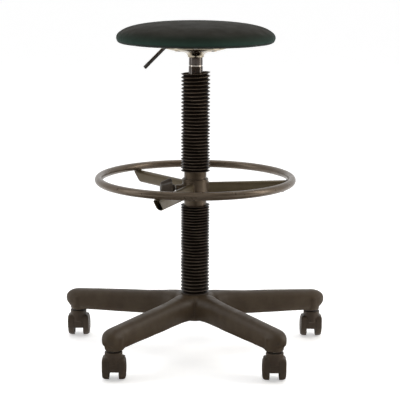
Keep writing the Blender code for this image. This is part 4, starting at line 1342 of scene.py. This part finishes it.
def make_studio():
    """Floor, surroundings, four soft lights and the camera where the photograph was taken from."""
    bpy.context.scene.view_settings.view_transform = "Standard"
    floor = dress(block("studio_floor", (60, 60, 0.02), (0, 0, -0.0102)), glowing("pale_floor", 0.85, 0.45))
    make_world()
    make_horizon()
    make_flag()
    area_light("key", (0.7, 2.2), 17, (-2.2, -0.5, 1.3), (0, 0, 0.4))
    area_light("fill", (0.5, 2.2), 25, (2.2, -0.4, 1.2), (0, 0, 0.4), (1.0, 0.95, 0.88))
    area_light("front", (1.6, 1.2), 9, (-0.2, -2.6, 2.2), (0, 0, 0.4), (1.0, 0.96, 0.90))
    area_light("top", (2.4, 2.4), 26, (0.0, 0.6, 2.9), (0, 0, 0.4))
    camera = bpy.data.cameras.new("camera")
    camera.lens = LENS
    camera.sensor_width = 36
    thing = add("camera", camera)
    thing.location = AXIS + Vector((CAMERA_SIDE, -CAMERA_DISTANCE, CAMERA_HEIGHT))
    looking = Matrix.Rotation(TAU / 4 + CAMERA_PITCH, 4, "X") @ about_z(CAMERA_ROLL)
    thing.rotation_euler = looking.to_euler()
    bpy.context.scene.camera = thing


# ---------------------------------------------------------------- assembly
NYLON = moulded_plastic("moulded_nylon", (0.044, 0.029, 0.016), (0.056, 0.039, 0.023), (0.105, 0.084, 0.062),
                        0.46, shine=0.26)
CASTOR = moulded_plastic("castor_nylon", (0.043, 0.029, 0.018), (0.054, 0.038, 0.025), (0.092, 0.074, 0.057),
                         0.46, shine=0.26)
COAT = powder_coat("powder_coat", (0.062, 0.043, 0.026), (0.080, 0.059, 0.038))
SPOKE_COAT = powder_coat("spoke_coat", (0.060, 0.044, 0.021), (0.077, 0.058, 0.031), 0.36, 0.45)
RING_COAT = powder_coat("ring_coat", (0.088, 0.065, 0.044), (0.112, 0.086, 0.062), 0.30)
ZINC = plated_steel("zinc_plate", (0.62, 0.61, 0.58), 0.28)
BAND = plated_steel("groove_ring", (0.40, 0.36, 0.32), 0.10)
PLATE = plated_steel("plate_steel", (0.38, 0.33, 0.25), 0.18)
TUBE_PAINT = gloss_tube()
BUSH = moulded_plastic("acetal", (0.48, 0.46, 0.41), (0.56, 0.54, 0.49), (0.65, 0.63, 0.58), 0.40)
BLACK = moulded_plastic("black_plastic", (0.016, 0.014, 0.011), (0.024, 0.021, 0.017), (0.070, 0.062, 0.052),
                        0.34, shine=0.4)
KNOB = moulded_plastic("knob_plastic", (0.034, 0.025, 0.017), (0.046, 0.035, 0.025), (0.105, 0.088, 0.070),
                       0.42, shine=0.2)
RUBBER = rubber()
LEATHER = leatherette()
PLY = plywood()
FOAM = foam()

make_studio()
make_base()
make_column()
make_gaiters()
make_lift()
make_seat_plate()
make_board()
make_lever()
make_foot_ring()
make_spokes()
make_ring_hub()
make_clamp()
make_castors()
make_cushion()
make_hem()
dress_frame_nodes()
